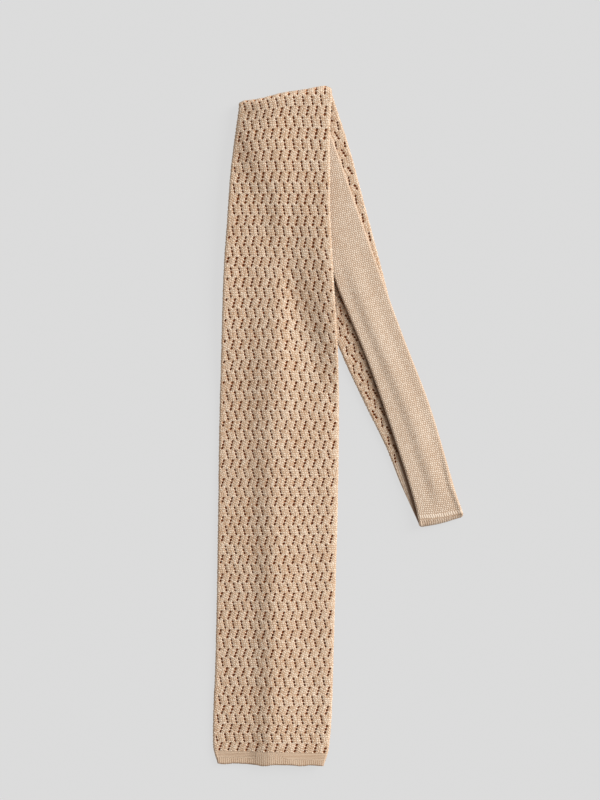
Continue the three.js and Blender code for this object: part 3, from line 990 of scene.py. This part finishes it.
    def places(self, shell: Shell, loop: Array, bounds: tuple[Array, Array], edge: int) -> Array:
        """Places round the first and last loop, from 0 to 1: a wall takes 0.4 and a side edge 0.1."""
        across = np.concatenate(shell.points)[:, 1]
        count = (loop.shape[1] - 2 * edge) // 2
        placed = []
        for end in (0, -1):
            near, far = bounds[0][end], bounds[1][end]
            share = np.clip((across[loop[end]] - near) / (far - near), 0, 1)
            one_edge = 0.1 * np.arange(1, edge + 1) / (edge + 1)
            placed.append(np.concatenate([0.4 * share[:count], 0.4 + one_edge,
                                          0.9 - 0.4 * share[count + edge:2 * count + edge], 0.9 + one_edge]))
        return np.array(placed)


@dataclass
class PlainTube:
    """A length of tube with unpierced walls.

    Args:
        tie: The tie that it is part of.
        start: Where it starts along the tube.
        end: Where it ends.
        rows: Rows of points along it.
        columns: Points across each wall.
        wale: Width of a stitch.
        course: Length of a stitch.
    """

    tie: FoldedTie
    start: float
    end: float
    rows: int
    columns: int
    wale: float
    course: float
    edge_steps: int = 6
    lining_columns: int = 9

    def relief(self, along: Array, across: Array, q: Array, wall: Wall) -> Array:
        """How far the outer face stands out from the smooth tube: not at all, unless a kind says so."""
        return np.zeros_like(across)

    def tone(self, along: Array, across: Array, q: Array, wall: Wall) -> Array:
        """How much lighter the yarn is: not at all, unless a kind says so."""
        return np.zeros_like(across)

    def counted(self, along: Array, arc: Array, q: Array) -> tuple[Array, Array]:
        """Stitches counted across and along: as many as fit, unless a kind has others."""
        return arc / self.wale, along / self.course

    def shorten(self, along: Array, across: Array) -> Array:
        """Where points lie along the tube once its edge is uneven: just where they are."""
        return along

    def build(self) -> Shell:
        """Makes the outer skin, the skin of the hollow and the two closed ends."""
        shell, radius = Shell(self.tie), self.tie.radius
        along = np.linspace(self.start, self.end, self.rows)
        left, right = self.tie.sides(along)
        centre, flat = (left + right)[:, None] / 2, (right - left)[:, None] / 2 - radius
        q = np.linspace(-1, 1, self.columns)
        turn = math.pi / 2 - math.pi * np.arange(1, self.edge_steps) / self.edge_steps
        along = along[:, None]
        parts, places = [], []
        for wall in Wall:
            order = q if wall is Wall.OUTER else q[::-1]
            across = centre + flat * order
            fade = ease(1 - np.abs(order), 0, 0.06 if wall is Wall.UNDER else 0.02)
            rise = radius + self.relief(along, across, order, wall) * fade
            parts.append(shell.add_points(self.shorten(along, across), across, rise * wall.value,
                                          *self.counted(along, across, order), 0.0,
                                          self.tone(along, across, order, wall)))
            side = wall.value
            edge = centre + side * (flat + radius * np.cos(turn))
            arc = centre + side * (flat + radius * (math.pi / 2 - np.abs(turn)))
            height = radius * np.sin(turn) * wall.value
            parts.append(shell.add_points(self.shorten(along, edge), edge, height,
                                          *self.counted(along, arc, order[-1:]), 0.0,
                                          self.tone(along, edge, order[-1:], wall)))
            base = 0.0 if wall is Wall.OUTER else 0.5
            places += [base + 0.4 * np.linspace(0, 1, self.columns),
                       base + 0.4 + 0.1 * np.arange(1, self.edge_steps) / self.edge_steps]
        outer, outer_at = np.column_stack(parts), np.concatenate(places)
        shell.add_strip(outer, closed=True)
        inner, inner_at = self.add_lining(shell, along, centre, flat)
        shell.close_ends(outer[[0, -1]], np.array([outer_at] * 2), inner[[0, -1]], np.array([inner_at] * 2))
        return shell

    def add_lining(self, shell: Shell, along: Array, centre: Array, flat: Array) -> tuple[Array, Array]:
        """Skin of the hollow: its two faces, which meet in a point at either side."""
        q = np.linspace(-1, 1, self.lining_columns)
        half = self.tie.hollow / 2
        loops, places = [], []
        for wall in Wall:
            order = q if wall is Wall.OUTER else q[::-1]
            across = centre + flat * order
            loops.append(shell.add_points(self.shorten(along, across), across, half * wall.value,
                                          across / self.wale, along / self.course, 1.0))
            tip = centre + wall.value * (flat + half)
            loops.append(shell.add_points(self.shorten(along, tip), tip, 0.0, tip / self.wale,
                                          along / self.course, 1.0))
            base = 0.0 if wall is Wall.OUTER else 0.5
            places += [base + 0.4 * np.linspace(0, 1, self.lining_columns), np.array([base + 0.45])]
        numbers = np.column_stack(loops)
        shell.add_strip(numbers, flip=True, closed=True)
        return numbers, np.concatenate(places)


@dataclass
class NeckbandTube(PlainTube):
    """The plain neckband, with a row of long stitches beside the neck fold and a rolled edge below it.

    Args:
        roll_drop: How far the rolled edge sinks.
        stitch_row: Distance from the fold to the row of long stitches, in the middle.
        stitch_slant: How much closer to the fold that row is at the right edge.
        stitch_length: Length of the long stitches.
        row_tone: How much lighter they are.
        roll_shade: How much painted shade darkens the roll.
        roll_fade: Over what distance before the row the roll's painted shade fades.
        side_tone: How much darker the right side edge is.
        side_from: Where across the band that starts, from -1 at the left to 1 at the right.
    """

    roll_drop: float = 0.8 * MM
    stitch_row: float = 0.9 * MM
    stitch_slant: float = 1.3 * MM
    stitch_length: float = 3.5 * MM
    row_tone: float = 0.16
    roll_shade: float = 0.4
    roll_fade: float = 0.8 * MM
    side_tone: float = 0.35
    side_from: float = 0.96

    def from_fold(self, along: Array) -> Array:
        """Distance along the strap from where the neck fold ends, below 0 in the fold."""
        return along - self.tie.starts["strap"]

    def row_place(self, q: Array) -> Array:
        """Where the row of long stitches starts: closer to the fold on the right."""
        return self.stitch_row - self.stitch_slant * q

    def relief(self, along: Array, across: Array, q: Array, wall: Wall) -> Array:
        """Sinks from the long stitches to the fold, and rises again half way round it."""
        fold = self.tie.starts["strap"] - self.tie.starts["neck_fold"]
        away, place = self.from_fold(along), np.maximum(self.row_place(q), 0.3 * MM)
        sunk = np.clip(1 - away / place, 0, 1) ** 2 * np.clip(1 + 2 * away / fold, 0, 1)
        return -self.roll_drop * sunk if wall is Wall.OUTER else np.zeros_like(across + away)

    def tone(self, along: Array, across: Array, q: Array, wall: Wall) -> Array:
        """Light in the row of long stitches, and painted shade from there round the fold."""
        away, place = self.from_fold(along), self.row_place(q)
        middle = place + self.stitch_length / 2
        light = 1 - ease(np.abs(away - middle), self.stitch_length * 0.35, self.stitch_length * 0.6)
        fold = self.tie.starts["strap"] - self.tie.starts["neck_fold"]
        # Painted shade on the roll, which turns down away from the light.
        roll_shade_share = (1 - ease(away, place - self.roll_fade, place)) * ease(away, -fold, -fold / 2)
        return self.row_tone * light - self.roll_shade * roll_shade_share - self.side_tone * ease(q, self.side_from, 1)

    def counted(self, along: Array, arc: Array, q: Array) -> tuple[Array, Array]:
        """Stitches counted: along, one flattened one for the row of long stitches and one for the roll."""
        away, place = self.from_fold(along), self.row_place(q)
        above = away - place - self.stitch_length
        within = np.clip((away - place) / self.stitch_length, 0, 1)
        within = within + 0.14 * np.sin(2 * math.pi * within)
        below = 0.12 * np.clip((away - place) / (0.6 * MM), -1, 0)
        return arc / self.wale, below + within + np.maximum(above, 0) / self.course


@dataclass
class HemTube(PlainTube):
    """A ribbed hem, with a few plain courses where it meets the lace.

    Args:
        outward: 1 where the tube's distance grows away from the free edge, -1 at the other end.
        rib: Width of a rib.
        depth: Depth of the ribs.
        bold_depth: Depth of the bolder ones.
        bold: Places across between which the ribs are bolder.
        bold_fades: Over what distances left and right of those places they fade to the others.
        course_depth: Depth of the plain courses.
        wave: How far the free edge waves.
        turn_in: How far the free edge is turned in.
        bold_hang: How much lower the free edge hangs at the bolder ribs.
        bold_tone: How much lighter the bolder ribs are.
        free_tone: How much darker the free edge is.
    """

    outward: int = 1
    rib: float = 1.25 * MM
    depth: float = 0.13 * MM
    bold_depth: float = 0.2 * MM
    bold: tuple[float, float] = (-8.5 * MM, 2 * MM)
    bold_fades: tuple[float, float] = (1.5 * MM, 9 * MM)
    course_depth: float = 0.12 * MM
    wave: float = 0.5 * MM
    turn_in: float = 0.35 * MM
    bold_hang: float = 0.6 * MM
    bold_tone: float = 0.1
    free_tone: float = 0.55

    def share(self, along: Array) -> Array:
        """0 at the free edge to 1 at the lace."""
        share = (along - self.start) / (self.end - self.start)
        return share if self.outward > 0 else 1 - share

    def is_bold(self, across: Array) -> Array:
        """1 between the places where the ribs are bold, falling to 0 beside them."""
        (near, far), (before, after) = self.bold, self.bold_fades
        return ease(across, near - before, near) * (1 - ease(across, far, far + after))

    def ribbed(self, along: Array, across: Array) -> Array:
        """1 in the ribs, which reach half way up, and higher where they are bold, to 0 in the courses."""
        end = 0.48 + 0.5 * self.is_bold(across)
        return 1 - ease(self.share(along), end - 0.08, end + 0.08)

    def relief(self, along: Array, across: Array, q: Array, wall: Wall) -> Array:
        """Rounded ribs up to the plain courses, which lie across, and a turned-in free edge."""
        share, ribbed = self.share(along), self.ribbed(along, across)
        depth = self.depth + (self.bold_depth - self.depth) * self.is_bold(across)
        rounded = np.abs(np.cos(math.pi * across / self.rib)) ** 0.7 - (0.65 if wall is Wall.OUTER else 1.0)
        across_it = np.cos(2 * math.pi * along / self.course) - 0.5 - 0.5 * q * q
        courses = (1 - ribbed) * self.course_depth * across_it
        turned_in = -self.turn_in * (1 - ease(share, 0, 0.07))
        return ribbed * depth * rounded + courses + turned_in

    def counted(self, along: Array, arc: Array, q: Array) -> tuple[Array, Array]:
        """Stitches counted: across only in the ribs, and along only in the plain courses."""
        ribs = self.ribbed(along, arc) > 0.5
        return np.where(ribs, arc / self.rib + 0.5, 0.5), np.where(ribs, 0.5, along / self.course)

    def tone(self, along: Array, across: Array, q: Array, wall: Wall) -> Array:
        """Darker along the free edge, and a little lighter where the ribs are bold."""
        edge = 1 - ease(self.share(along), 0.02, 0.16)
        return self.bold_tone * self.is_bold(across) - self.free_tone * edge

    def shorten(self, along: Array, across: Array) -> Array:
        """The free edge waves a little, and hangs lower where the ribs are bold."""
        wave = self.wave * (0.5 * np.sin(across / (3.7 * MM)) + 0.3 * np.sin(across / (1.9 * MM) + 1)
                            + 0.35 * np.cos(2 * math.pi * across / self.rib))
        hang = self.bold_hang * np.exp(-((across + 3 * MM) / (6 * MM)) ** 2)
        return along + self.outward * (wave - hang + 0.1 * MM) * (1 - ease(self.share(along), 0, 0.6))


@dataclass(frozen=True)
class Wire:
    """A number in a node tree, with arithmetic that adds Math nodes.

    Args:
        graph: The tree that it belongs to.
        socket: The output socket that gives it.
    """

    graph: "Graph"
    socket: bpy.types.NodeSocket

    def maths(self, operation: str, *values: "Wire | float") -> "Wire":
        """The result of a Math node on these values."""
        made = self.graph.node("ShaderNodeMath", {"operation": operation}, dict(enumerate(values)))
        return Wire(self.graph, made.outputs[0])

    def __add__(self, other: "Wire | float") -> "Wire":
        """Sum."""
        return self.maths("ADD", self, other)

    def __sub__(self, other: "Wire | float") -> "Wire":
        """Difference."""
        return self.maths("SUBTRACT", self, other)

    def __rsub__(self, other: "Wire | float") -> "Wire":
        """Difference from a number."""
        return self.maths("SUBTRACT", other, self)

    def __mul__(self, other: "Wire | float") -> "Wire":
        """Product."""
        return self.maths("MULTIPLY", self, other)

    def whole(self) -> "Wire":
        """The whole number below."""
        return self.maths("FLOOR", self)

    def part(self) -> "Wire":
        """What is above that whole number."""
        return self.maths("FRACT", self)

    def size(self) -> "Wire":
        """The number without its sign."""
        return self.maths("ABSOLUTE", self)

    def hump(self) -> "Wire":
        """0 at 0 and 1, and 1 halfway: 1 - (2 * x - 1) squared."""
        centred = self * 2 - 1
        return 1 - centred * centred

    def within(self, low: float, high: float) -> "Wire":
        """0 below low to 1 above high, smoothly."""
        made = self.graph.node(
            "ShaderNodeMapRange", {"interpolation_type": "SMOOTHSTEP"},
            {"Value": self, "From Min": low, "From Max": high, "To Min": 0.0, "To Max": 1.0})
        return Wire(self.graph, made.outputs["Result"])


class Graph:
    """The node tree of one material."""

    def __init__(self, name: str) -> None:
        """A new material with an empty tree but for its shader and output."""
        self.material = bpy.data.materials.new(name)
        self.material.use_nodes = True
        self.tree = self.material.node_tree
        self.tree.nodes.clear()
        self.shader = self.node("ShaderNodeBsdfPrincipled", {}, {})
        output = self.node("ShaderNodeOutputMaterial", {}, {})
        self.tree.links.new(self.shader.outputs[0], output.inputs["Surface"])

    def node(self, kind: str, settings: dict[str, Any], inputs: dict[str | int, Any]) -> bpy.types.Node:
        """Adds a node.

        Args:
            kind: Its type.
            settings: Its own settings, set first.
            inputs: Values of its sockets, or what is linked to them.

        Returns:
            The node.
        """
        made = self.tree.nodes.new(kind)
        for name, value in settings.items():
            setattr(made, name, value)
        for name, value in inputs.items():
            self.feed(made.inputs[name], value)
        return made

    def feed(self, socket: bpy.types.NodeSocket, value: Any) -> None:
        """Links a wire or an output to a socket, or sets the socket's value."""
        if isinstance(value, Wire):
            self.tree.links.new(value.socket, socket)
        elif isinstance(value, bpy.types.NodeSocket):
            self.tree.links.new(value, socket)
        else:
            socket.default_value = value

    def mix(self, share: Wire | float, low: Any, high: Any) -> bpy.types.NodeSocket:
        """A mix of two colours by a share."""
        made = self.node("ShaderNodeMix", {"data_type": "RGBA"},
                         {0: share, 6: rgba(low), 7: rgba(high)})
        return made.outputs[2]

    def noise(self, scale: float) -> Wire:
        """Soft noise over the object, from 0 to 1."""
        place = self.node("ShaderNodeTexCoord", {}, {})
        made = self.node("ShaderNodeTexNoise", {"noise_dimensions": "3D"},
                         {"Vector": place.outputs["Object"], "Scale": scale, "Detail": 2.0})
        return Wire(self, made.outputs[0])

    def dress(self, inputs: dict[str, Any]) -> bpy.types.Material:
        """Gives the shader its inputs, and hands over the material."""
        for name, value in inputs.items():
            self.feed(self.shader.inputs[name], value)
        return self.material

    def attribute(self, name: str) -> Wire:
        """A number that the mesh carries."""
        return Wire(self, self.node("ShaderNodeAttribute", {"attribute_name": name}, {}).outputs["Fac"])

    def vector(self, x: Wire | float, y: Wire | float) -> bpy.types.NodeSocket:
        """A flat vector of two numbers."""
        return self.node("ShaderNodeCombineXYZ", {}, {"X": x, "Y": y}).outputs[0]


def rgba(colour: Any) -> Any:
    """A colour of three numbers with an alpha of 1, and anything else as it is."""
    return (*colour, 1.0) if isinstance(colour, tuple) else colour


@dataclass(frozen=True)
class KnitFinish:
    """Matt yarn in knitted stitches, read from the stitch counts of the cloth.

    Args:
        name: The material's name.
        yarn: Colour of the yarn where it stands up.
        gap: Colour down between the stitches, a painted shade in the recesses of the knitting.
        inside: Colour on the inner faces and in the holes: partly the darker inner side of the yarn, partly
            painted shade down in the holes.
        legs: 1 for stitches with a left and a right leg in one count across, 0 for one bead each.
        slope: How far a leg climbs, in stitches.
        depth: Depth of the stitches' relief.
        rows: How much of the relief is between one course and the next, from 0 for smooth ribs to 1.
        brick: Whether each course is shifted half a bead against the one before.
        slants: Whether the stitches lean one way in one group of holes and the other way in the next.
        uneven: How much the tone changes from stitch to stitch.
        stray: How far the stitches stray from their places.
        contrast: Between which shades the colour goes from that of the gaps to that of the yarn.
        light: Colour of the lightest yarn, used for painted highlights.
        painted_gap_shade: Colour of the painted shade in the gap between two layers.
        gap_shade_strength: How much of that painted shade there is in the middle of the gap.
        wobble_scale: Scale of the noise that moves the stitches.
        along_stray: How far they stray along the tube, as a share of how far they stray across it.
        patch_scale: Scale of the noise that makes lighter and darker patches.
        fibre_scale: Scale of the noise that stands for single fibres.
        height_share: How much the relief gives to the shade.
        patch_share: How much the patches give to it.
        fibre_share: How much the fibres give to it.
        fibre_relief: How much the fibres stand out, as a share of the depth.
    """

    name: str
    yarn: Colour
    gap: Colour
    inside: Colour
    legs: int = 1
    slope: float = 0.5
    depth: float = 0.3 * MM
    rows: float = 1.0
    slants: bool = False
    brick: bool = False
    uneven: float = 0.5
    stray: float = 0.55
    contrast: tuple[float, float] = (0.05, 0.95)
    light: Colour = (0.95, 0.83, 0.68)
    painted_gap_shade: Colour = (0.11, 0.046, 0.018)
    gap_shade_strength: float = 0.88
    wobble_scale: float = 900.0
    along_stray: float = 0.8
    patch_scale: float = 60.0
    fibre_scale: float = 4200.0
    height_share: float = 0.95
    patch_share: float = 0.35
    fibre_share: float = 0.3
    fibre_relief: float = 0.15
    roughness: float = 0.86
    specular: float = 0.2
    sheen: float = 0.12
    sheen_roughness: float = 0.6

    def build(self) -> bpy.types.Material:
        """Makes the material."""
        graph = Graph(self.name)
        uv = graph.node("ShaderNodeUVMap", {"uv_map": "Stitches"}, {})
        split = graph.node("ShaderNodeSeparateXYZ", {}, {0: uv.outputs[0]})
        stray = (graph.noise(self.wobble_scale) - 0.5) * self.stray
        across = Wire(graph, split.outputs[0]) + stray
        along = Wire(graph, split.outputs[1]) - stray * self.along_stray
        height, cell_across, cell_along = self.stitches(across, along)
        tone = graph.node("ShaderNodeTexWhiteNoise", {"noise_dimensions": "2D"},
                          {"Vector": graph.vector(cell_across, cell_along)})
        patches, fibres = graph.noise(self.patch_scale), graph.noise(self.fibre_scale)
        # Painted shade between the stitches, from the relief, with tone noise, patches and fibres that vary
        # it at random.
        shade = (height * self.height_share + (Wire(graph, tone.outputs["Value"]) - 0.5) * self.uneven
                 + (patches - 0.5) * self.patch_share + (fibres - 0.5) * self.fibre_share)
        cloth = graph.mix(shade.within(*self.contrast), self.gap, self.yarn)
        # The tone attribute paints highlights towards the light colour and shade towards the gap colour.
        lightness = graph.attribute("tone")
        lighter = graph.mix(lightness.within(0.0, 1.0), cloth, self.light)
        darker = graph.mix((lightness * -1).within(0.0, 1.0), lighter, self.gap)
        # The inside colour: partly the darker inner side of the yarn, partly painted shade in the holes and
        # on their rims.
        hole_shaded = graph.mix(graph.attribute("inside").within(0.02, 0.75), darker, self.inside)
        # Painted shade in the gap beside the strap, mixed in by the gap attribute.
        colour = graph.mix(graph.attribute("gap") * self.gap_shade_strength, hole_shaded, self.painted_gap_shade)
        bump = graph.node("ShaderNodeBump", {}, {
            "Strength": 1.0, "Distance": self.depth, "Height": height + fibres * self.fibre_relief})
        return graph.dress({"Base Color": colour, "Normal": bump.outputs[0], "Roughness": self.roughness,
                            "Specular IOR Level": self.specular, "Sheen Weight": self.sheen,
                            "Sheen Roughness": self.sheen_roughness})

    def stitches(self, across: Wire, along: Wire) -> tuple[Wire, Wire, Wire]:
        """Relief of the stitches, from 0 between them to 1 on their backs.

        A stitch with legs is a V: its course climbs with the distance from its middle, and each leg is
        a long hump. One without is a plain round bead.

        Returns:
            The relief, and the number of the leg or bead across and along.
        """
        if self.legs:
            arm = (across.part() - 0.5).size()
            climb = arm * (2 * self.slope)
            if self.slants:
                group = (along * (1 / 9)).part().within(0.42, 0.58)
                climb = climb + (1 - group) * (across.part() - 0.5) * (2 * self.slope) * -1
            climbed = along - climb
            return (arm * 2).hump() * climbed.part().hump(), (across * 2).whole(), climbed.whole()
        if self.brick:
            across = across + (along.whole() * 0.5).part()
        climbed = along - across.part() * self.slope
        between = 1 - (1 - climbed.part().hump()) * self.rows
        return across.part().hump() * between, across.whole(), climbed.whole()


@dataclass(frozen=True)
class FloorFinish:
    """Plain pale paper, lit from below as well as above, so that shadows on it are faint."""

    colour: Colour = (0.05, 0.05, 0.05)
    glow: float = 0.654
    roughness: float = 0.95

    def build(self) -> bpy.types.Material:
        """Makes the material."""
        return Graph("pale_paper").dress({
            "Base Color": rgba(self.colour), "Roughness": self.roughness, "Specular IOR Level": 0.0,
            "Emission Color": rgba((1.0, 1.0, 1.0)), "Emission Strength": self.glow})


@dataclass(frozen=True)
class Finishes:
    """The tie's materials."""

    lace: KnitFinish = KnitFinish(
        "lace_knit", (0.702, 0.569, 0.437), (0.455, 0.275, 0.157), (0.5, 0.185, 0.055),
        slants=True, depth=0.23 * MM, uneven=0.5, light=(0.735, 0.61, 0.477), stray=0.9)
    plain: KnitFinish = KnitFinish(
        "plain_knit", (0.73, 0.607, 0.485), (0.44, 0.292, 0.187), (0.2, 0.08, 0.035),
        legs=0, slope=0.25, depth=0.2 * MM, uneven=0.24, stray=0.7, brick=True,
        light=(0.84, 0.73, 0.59))
    rib: KnitFinish = KnitFinish(
        "rib_knit", (0.56, 0.418, 0.297), (0.37, 0.225, 0.135), (0.2, 0.08, 0.035),
        legs=0, slope=0.0, depth=0.16 * MM, rows=0.8, uneven=0.3, stray=0.3, contrast=(0.05, 0.9))


@dataclass
class KnitPiece:
    """One piece of the tie that is made and shown.

    Args:
        name: Its name.
        slot: Its material slot in the record; not used.
        node: The CAD node that it stands for.
        tube: What makes its shell.
    """

    name: str
    slot: str
    node: str
    tube: LaceTube | PlainTube

    def make(self, material: bpy.types.Material) -> bpy.types.Object:
        """Builds and dresses the piece, and puts it on the frame."""
        made = self.tube.build().make(self.name, material)
        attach(made, "root")
        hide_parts(self.node)
        return made


def measured(at: Sequence[float], value: Sequence[float], at_unit: float = 1,
             value_unit: float = MM) -> Curve:
    """A curve through measured places and values, in the units of each."""
    return Curve(tuple(place * at_unit for place in at), tuple(reading * value_unit for reading in value))


@dataclass
class WideEnd:
    """The wide end: its hem, and the lace from there over the top fold to the neckband."""

    tie: FoldedTie
    cuts: tuple[int, ...] = (0, 66, 132, 204, 318)
    seam_gap: float = 0.01 * MM

    def lace_rows(self) -> LaceRows:
        """Row lines up the front, round the top fold and down the back, and the columns across them."""
        tie = self.tie
        lace_end = tie.starts["back"] + tie.back_length - tie.plain_before_neck
        row_line = measured(
            (0, 6.4, 24.8, 43.2, 61.6, 79.4, 97.4, 115.1, 132, 149, 165.5, 176, 186.5, 192, 198, 204),
            (8.1, 20, 56, 92, 128, 164, 200, 236, 272, 308, 344, 368, 392, 405, 418, 430.8))
        row_line = Curve((*row_line.at, self.cuts[-1]), (*row_line.value, lace_end))
        at = (8, 20, 56, 92, 164, 200, 236, 272, 308, 344, 392)
        columns = tuple(measured(at, numbers, MM, 1) for numbers in (
            (-1.6, -1.8, -2.5, -3, -2.85, -2.7, -2.35, -2.4, -2.7, -2.9, -2.95),
            (5.45, 5.3, 4.85, 4.4, 4.45, 4.75, 5.1, 5.1, 4.93, 4.9, 5.05),
            (12.1, 12, 11.65, 11.35, 11.4, 11.55, 11.85, 11.95, 12, 12.25, 12.4),
            (18.6, 18.55, 18.2, 18.15, 18.25, 18.25, 18.35, 18.6, 19.55, 19.95, 19.5)))
        at = (20, 56, 92, 128, 164, 200, 236, 272, 308, 344, 368, 380, 392, 416, 480)
        bows = tuple(measured(at, lags, MM, 1) for lags in (
            (.05, 0, -.1, .1, .25, .6, .55, .4, .05, .2, .2, .1, -.1, -.1, 0),
            (-.1, -.15, -.15, 0, .05, .2, -.05, -.15, -.15, .05, 0, -.1, -.2, -.2, 0),
            (-.2, -.1, -.25, -.25, -.25, -.15, .05, .25, .25, 0, .1, .3, .5, .5, 0),
            (-.4, -.7, -1, -1, -.6, -.1, .5, 1, .75, -.1, .3, 1, 1.7, 1.8, 0)))
        sways = measured((0, 200, 300, 350, 416), (1.5, 1.55, 1.4, 1.25, 1.2), MM)
        return LaceRows(row_line, (-32 * MM, -12 * MM, 8 * MM, 28 * MM), columns, bows, sways, 8.1 * MM)

    def build(self, finishes: dict[str, bpy.types.Material]) -> list[bpy.types.Object]:
        """Makes the hem and the four lengths of lace."""
        rows, seam, cuts = self.lace_rows(), self.seam_gap, self.cuts
        names = ("wide_lace_low", "wide_lace_middle", "wide_lace_top", "back_lace")
        made = []
        for name, first, last in zip(names, cuts, cuts[1:]):
            seen = Wall.UNDER if name == "back_lace" else Wall.OUTER
            forms = {wall: SEEN if wall is seen else HIDDEN for wall in Wall}
            tube = LaceTube(self.tie, rows, first, last, forms, trim=(seam, seam))
            made.append(KnitPiece(name, "lace_knit", "wide_blade", tube).make(finishes["lace_knit"]))
        tie, ends = self.tie, rows.along(np.array(cuts, float))
        hem = HemTube(tie, 0.0, ends[0] - seam, 31, 380, 1.25 * MM, 0.95 * MM)
        hem_piece = KnitPiece("wide_hem_rib", "rib_knit", "wide_hem", hem).make(finishes["rib_knit"])
        for piece, start, end in zip(made, ends, ends[1:]):
            declare_cloth(tie, start, end)
        return [*made, hem_piece]


@dataclass
class Neckband:
    """The plain band round the neck, from the wide lace to the narrow one."""

    tie: FoldedTie
    seam_gap: float = 0.01 * MM
    row_step: float = 0.8 * MM

    def build(self, finishes: dict[str, bpy.types.Material]) -> list[bpy.types.Object]:
        """Makes the band."""
        tie = self.tie
        start = tie.starts["back"] + tie.back_length - tie.plain_before_neck + self.seam_gap
        end = tie.starts["tail"] + tie.plain_after_top - self.seam_gap
        rows = int((end - start) / self.row_step)
        tube = NeckbandTube(tie, start, end, rows, 48, 1.34 * MM, 1.3 * MM)
        band = KnitPiece("neckband_knit", "plain_knit", "neckband", tube).make(finishes["plain_knit"])
        declare_cloth(tie, start, end)
        return [band]


@dataclass
class NarrowEnd:
    """The hidden narrow end: its lace and its hem."""

    tie: FoldedTie
    lace_count: int = 186
    seam_gap: float = 0.01 * MM

    def build(self, finishes: dict[str, bpy.types.Material]) -> list[bpy.types.Object]:
        """Makes the lace and the hem."""
        tie, seam = self.tie, self.seam_gap
        start = tie.starts["tail"] + tie.plain_after_top
        end = tie.starts["end"] - tie.hem_length
        sides = (straight(-7.0), straight(7.0))
        rows = LaceRows(Curve((0, self.lace_count), (start, end)), (-18.2 * MM, 18.2 * MM), sides,
                        (straight(0), straight(0)), straight(1.65 * MM))
        tube = LaceTube(tie, rows, 0, self.lace_count, {wall: HIDDEN for wall in Wall}, trim=(seam, seam))
        lace = KnitPiece("narrow_lace", "lace_knit", "narrow_blade", tube).make(finishes["lace_knit"])
        hem = HemTube(tie, end + seam, tie.starts["end"], 25, 170, 1.2 * MM, 0.9 * MM, outward=-1,
                      bold=(1.0, 1.1))
        hem_piece = KnitPiece("narrow_hem_rib", "rib_knit", "narrow_hem", hem).make(finishes["rib_knit"])
        declare_cloth(tie, start, end)
        return [lace, hem_piece]


def declare_cloth(tie: FoldedTie, start: float, end: float) -> None:
    """Works out the length and area of a length of the tube as cloth, twice as wide as the pressed tube and
    as long as it is, and keeps neither.

    Args:
        tie: The tie.
        start: Where it starts along the tube.
        end: Where it ends.
    """
    along = np.linspace(start, end, 200)
    left, right = tie.sides(along)
    width = 2 * (right - left)
    float(end - start)
    float(width.mean() * (end - start))


@dataclass(frozen=True)
class Studio:
    """Floor, light and camera."""

    view_centre: tuple[float, float] = (-23.75 * MM, 16.25 * MM)
    view_height: float = 0.5
    lens: float = 200.0
    sensor: float = 36.0
    sun_strength: float = 4.8
    sun_from: tuple[float, float, float] = (1.0, 0.55, 0.62)
    sun_softness: float = 35.0
    sky: float = 0.46
    sky_colour: Colour = (1.015, 1.0, 0.985)
    floor_half: float = 3.0
    floor_drop: float = 0.05 * MM
    view_limit: float = 20.0

    def build(self) -> None:
        """Makes the floor, the lights and the camera, which looks straight down."""
        mesh = bpy.data.meshes.new("floor")
        quarters = ((-1, -1), (1, -1), (1, 1), (-1, 1))
        corners = [(x * self.floor_half, y * self.floor_half, -self.floor_drop) for x, y in quarters]
        mesh.from_pydata(corners, [], [(0, 1, 2, 3)])
        mesh.materials.append(FloorFinish().build())
        floor = show("floor", mesh)

        sun_data = bpy.data.lights.new("soft_key", "SUN")
        sun_data.energy, sun_data.angle = self.sun_strength, math.radians(self.sun_softness)
        sun = show("soft_key", sun_data)
        sun.rotation_euler = Vector(self.sun_from).to_track_quat("Z", "Y").to_euler()

        world = bpy.data.worlds.new("soft_room")
        world.use_nodes = True
        world.node_tree.nodes["Background"].inputs["Color"].default_value = rgba(self.sky_colour)
        world.node_tree.nodes["Background"].inputs["Strength"].default_value = self.sky
        bpy.context.scene.world = world

        camera_data = bpy.data.cameras.new("camera")
        camera_data.lens, camera_data.sensor_width = self.lens, self.sensor
        camera = show("camera", camera_data)
        distance = self.view_height / 2 / (self.sensor / 2 / self.lens)
        camera.location = (*self.view_centre, distance)
        camera_data.clip_end = self.view_limit
        bpy.context.scene.camera = camera
        bpy.context.scene.view_settings.view_transform = "Standard"


def main() -> None:
    """Builds the studio and the tie's sub-assemblies in order."""
    logging.basicConfig(level=logging.INFO, format="%(message)s")
    Studio().build()
    tie = FoldedTie().moved_to_frame()
    LOG.info("tie origin %s", tie.origin)
    finishes = {finish.name: finish.build() for finish in (Finishes.lace, Finishes.plain, Finishes.rib)}
    for assembly in (WideEnd(tie), Neckband(tie), NarrowEnd(tie)):
        for piece in assembly.build(finishes):
            LOG.info("placed %s", piece.name)


if __name__ == "__main__":
    main()
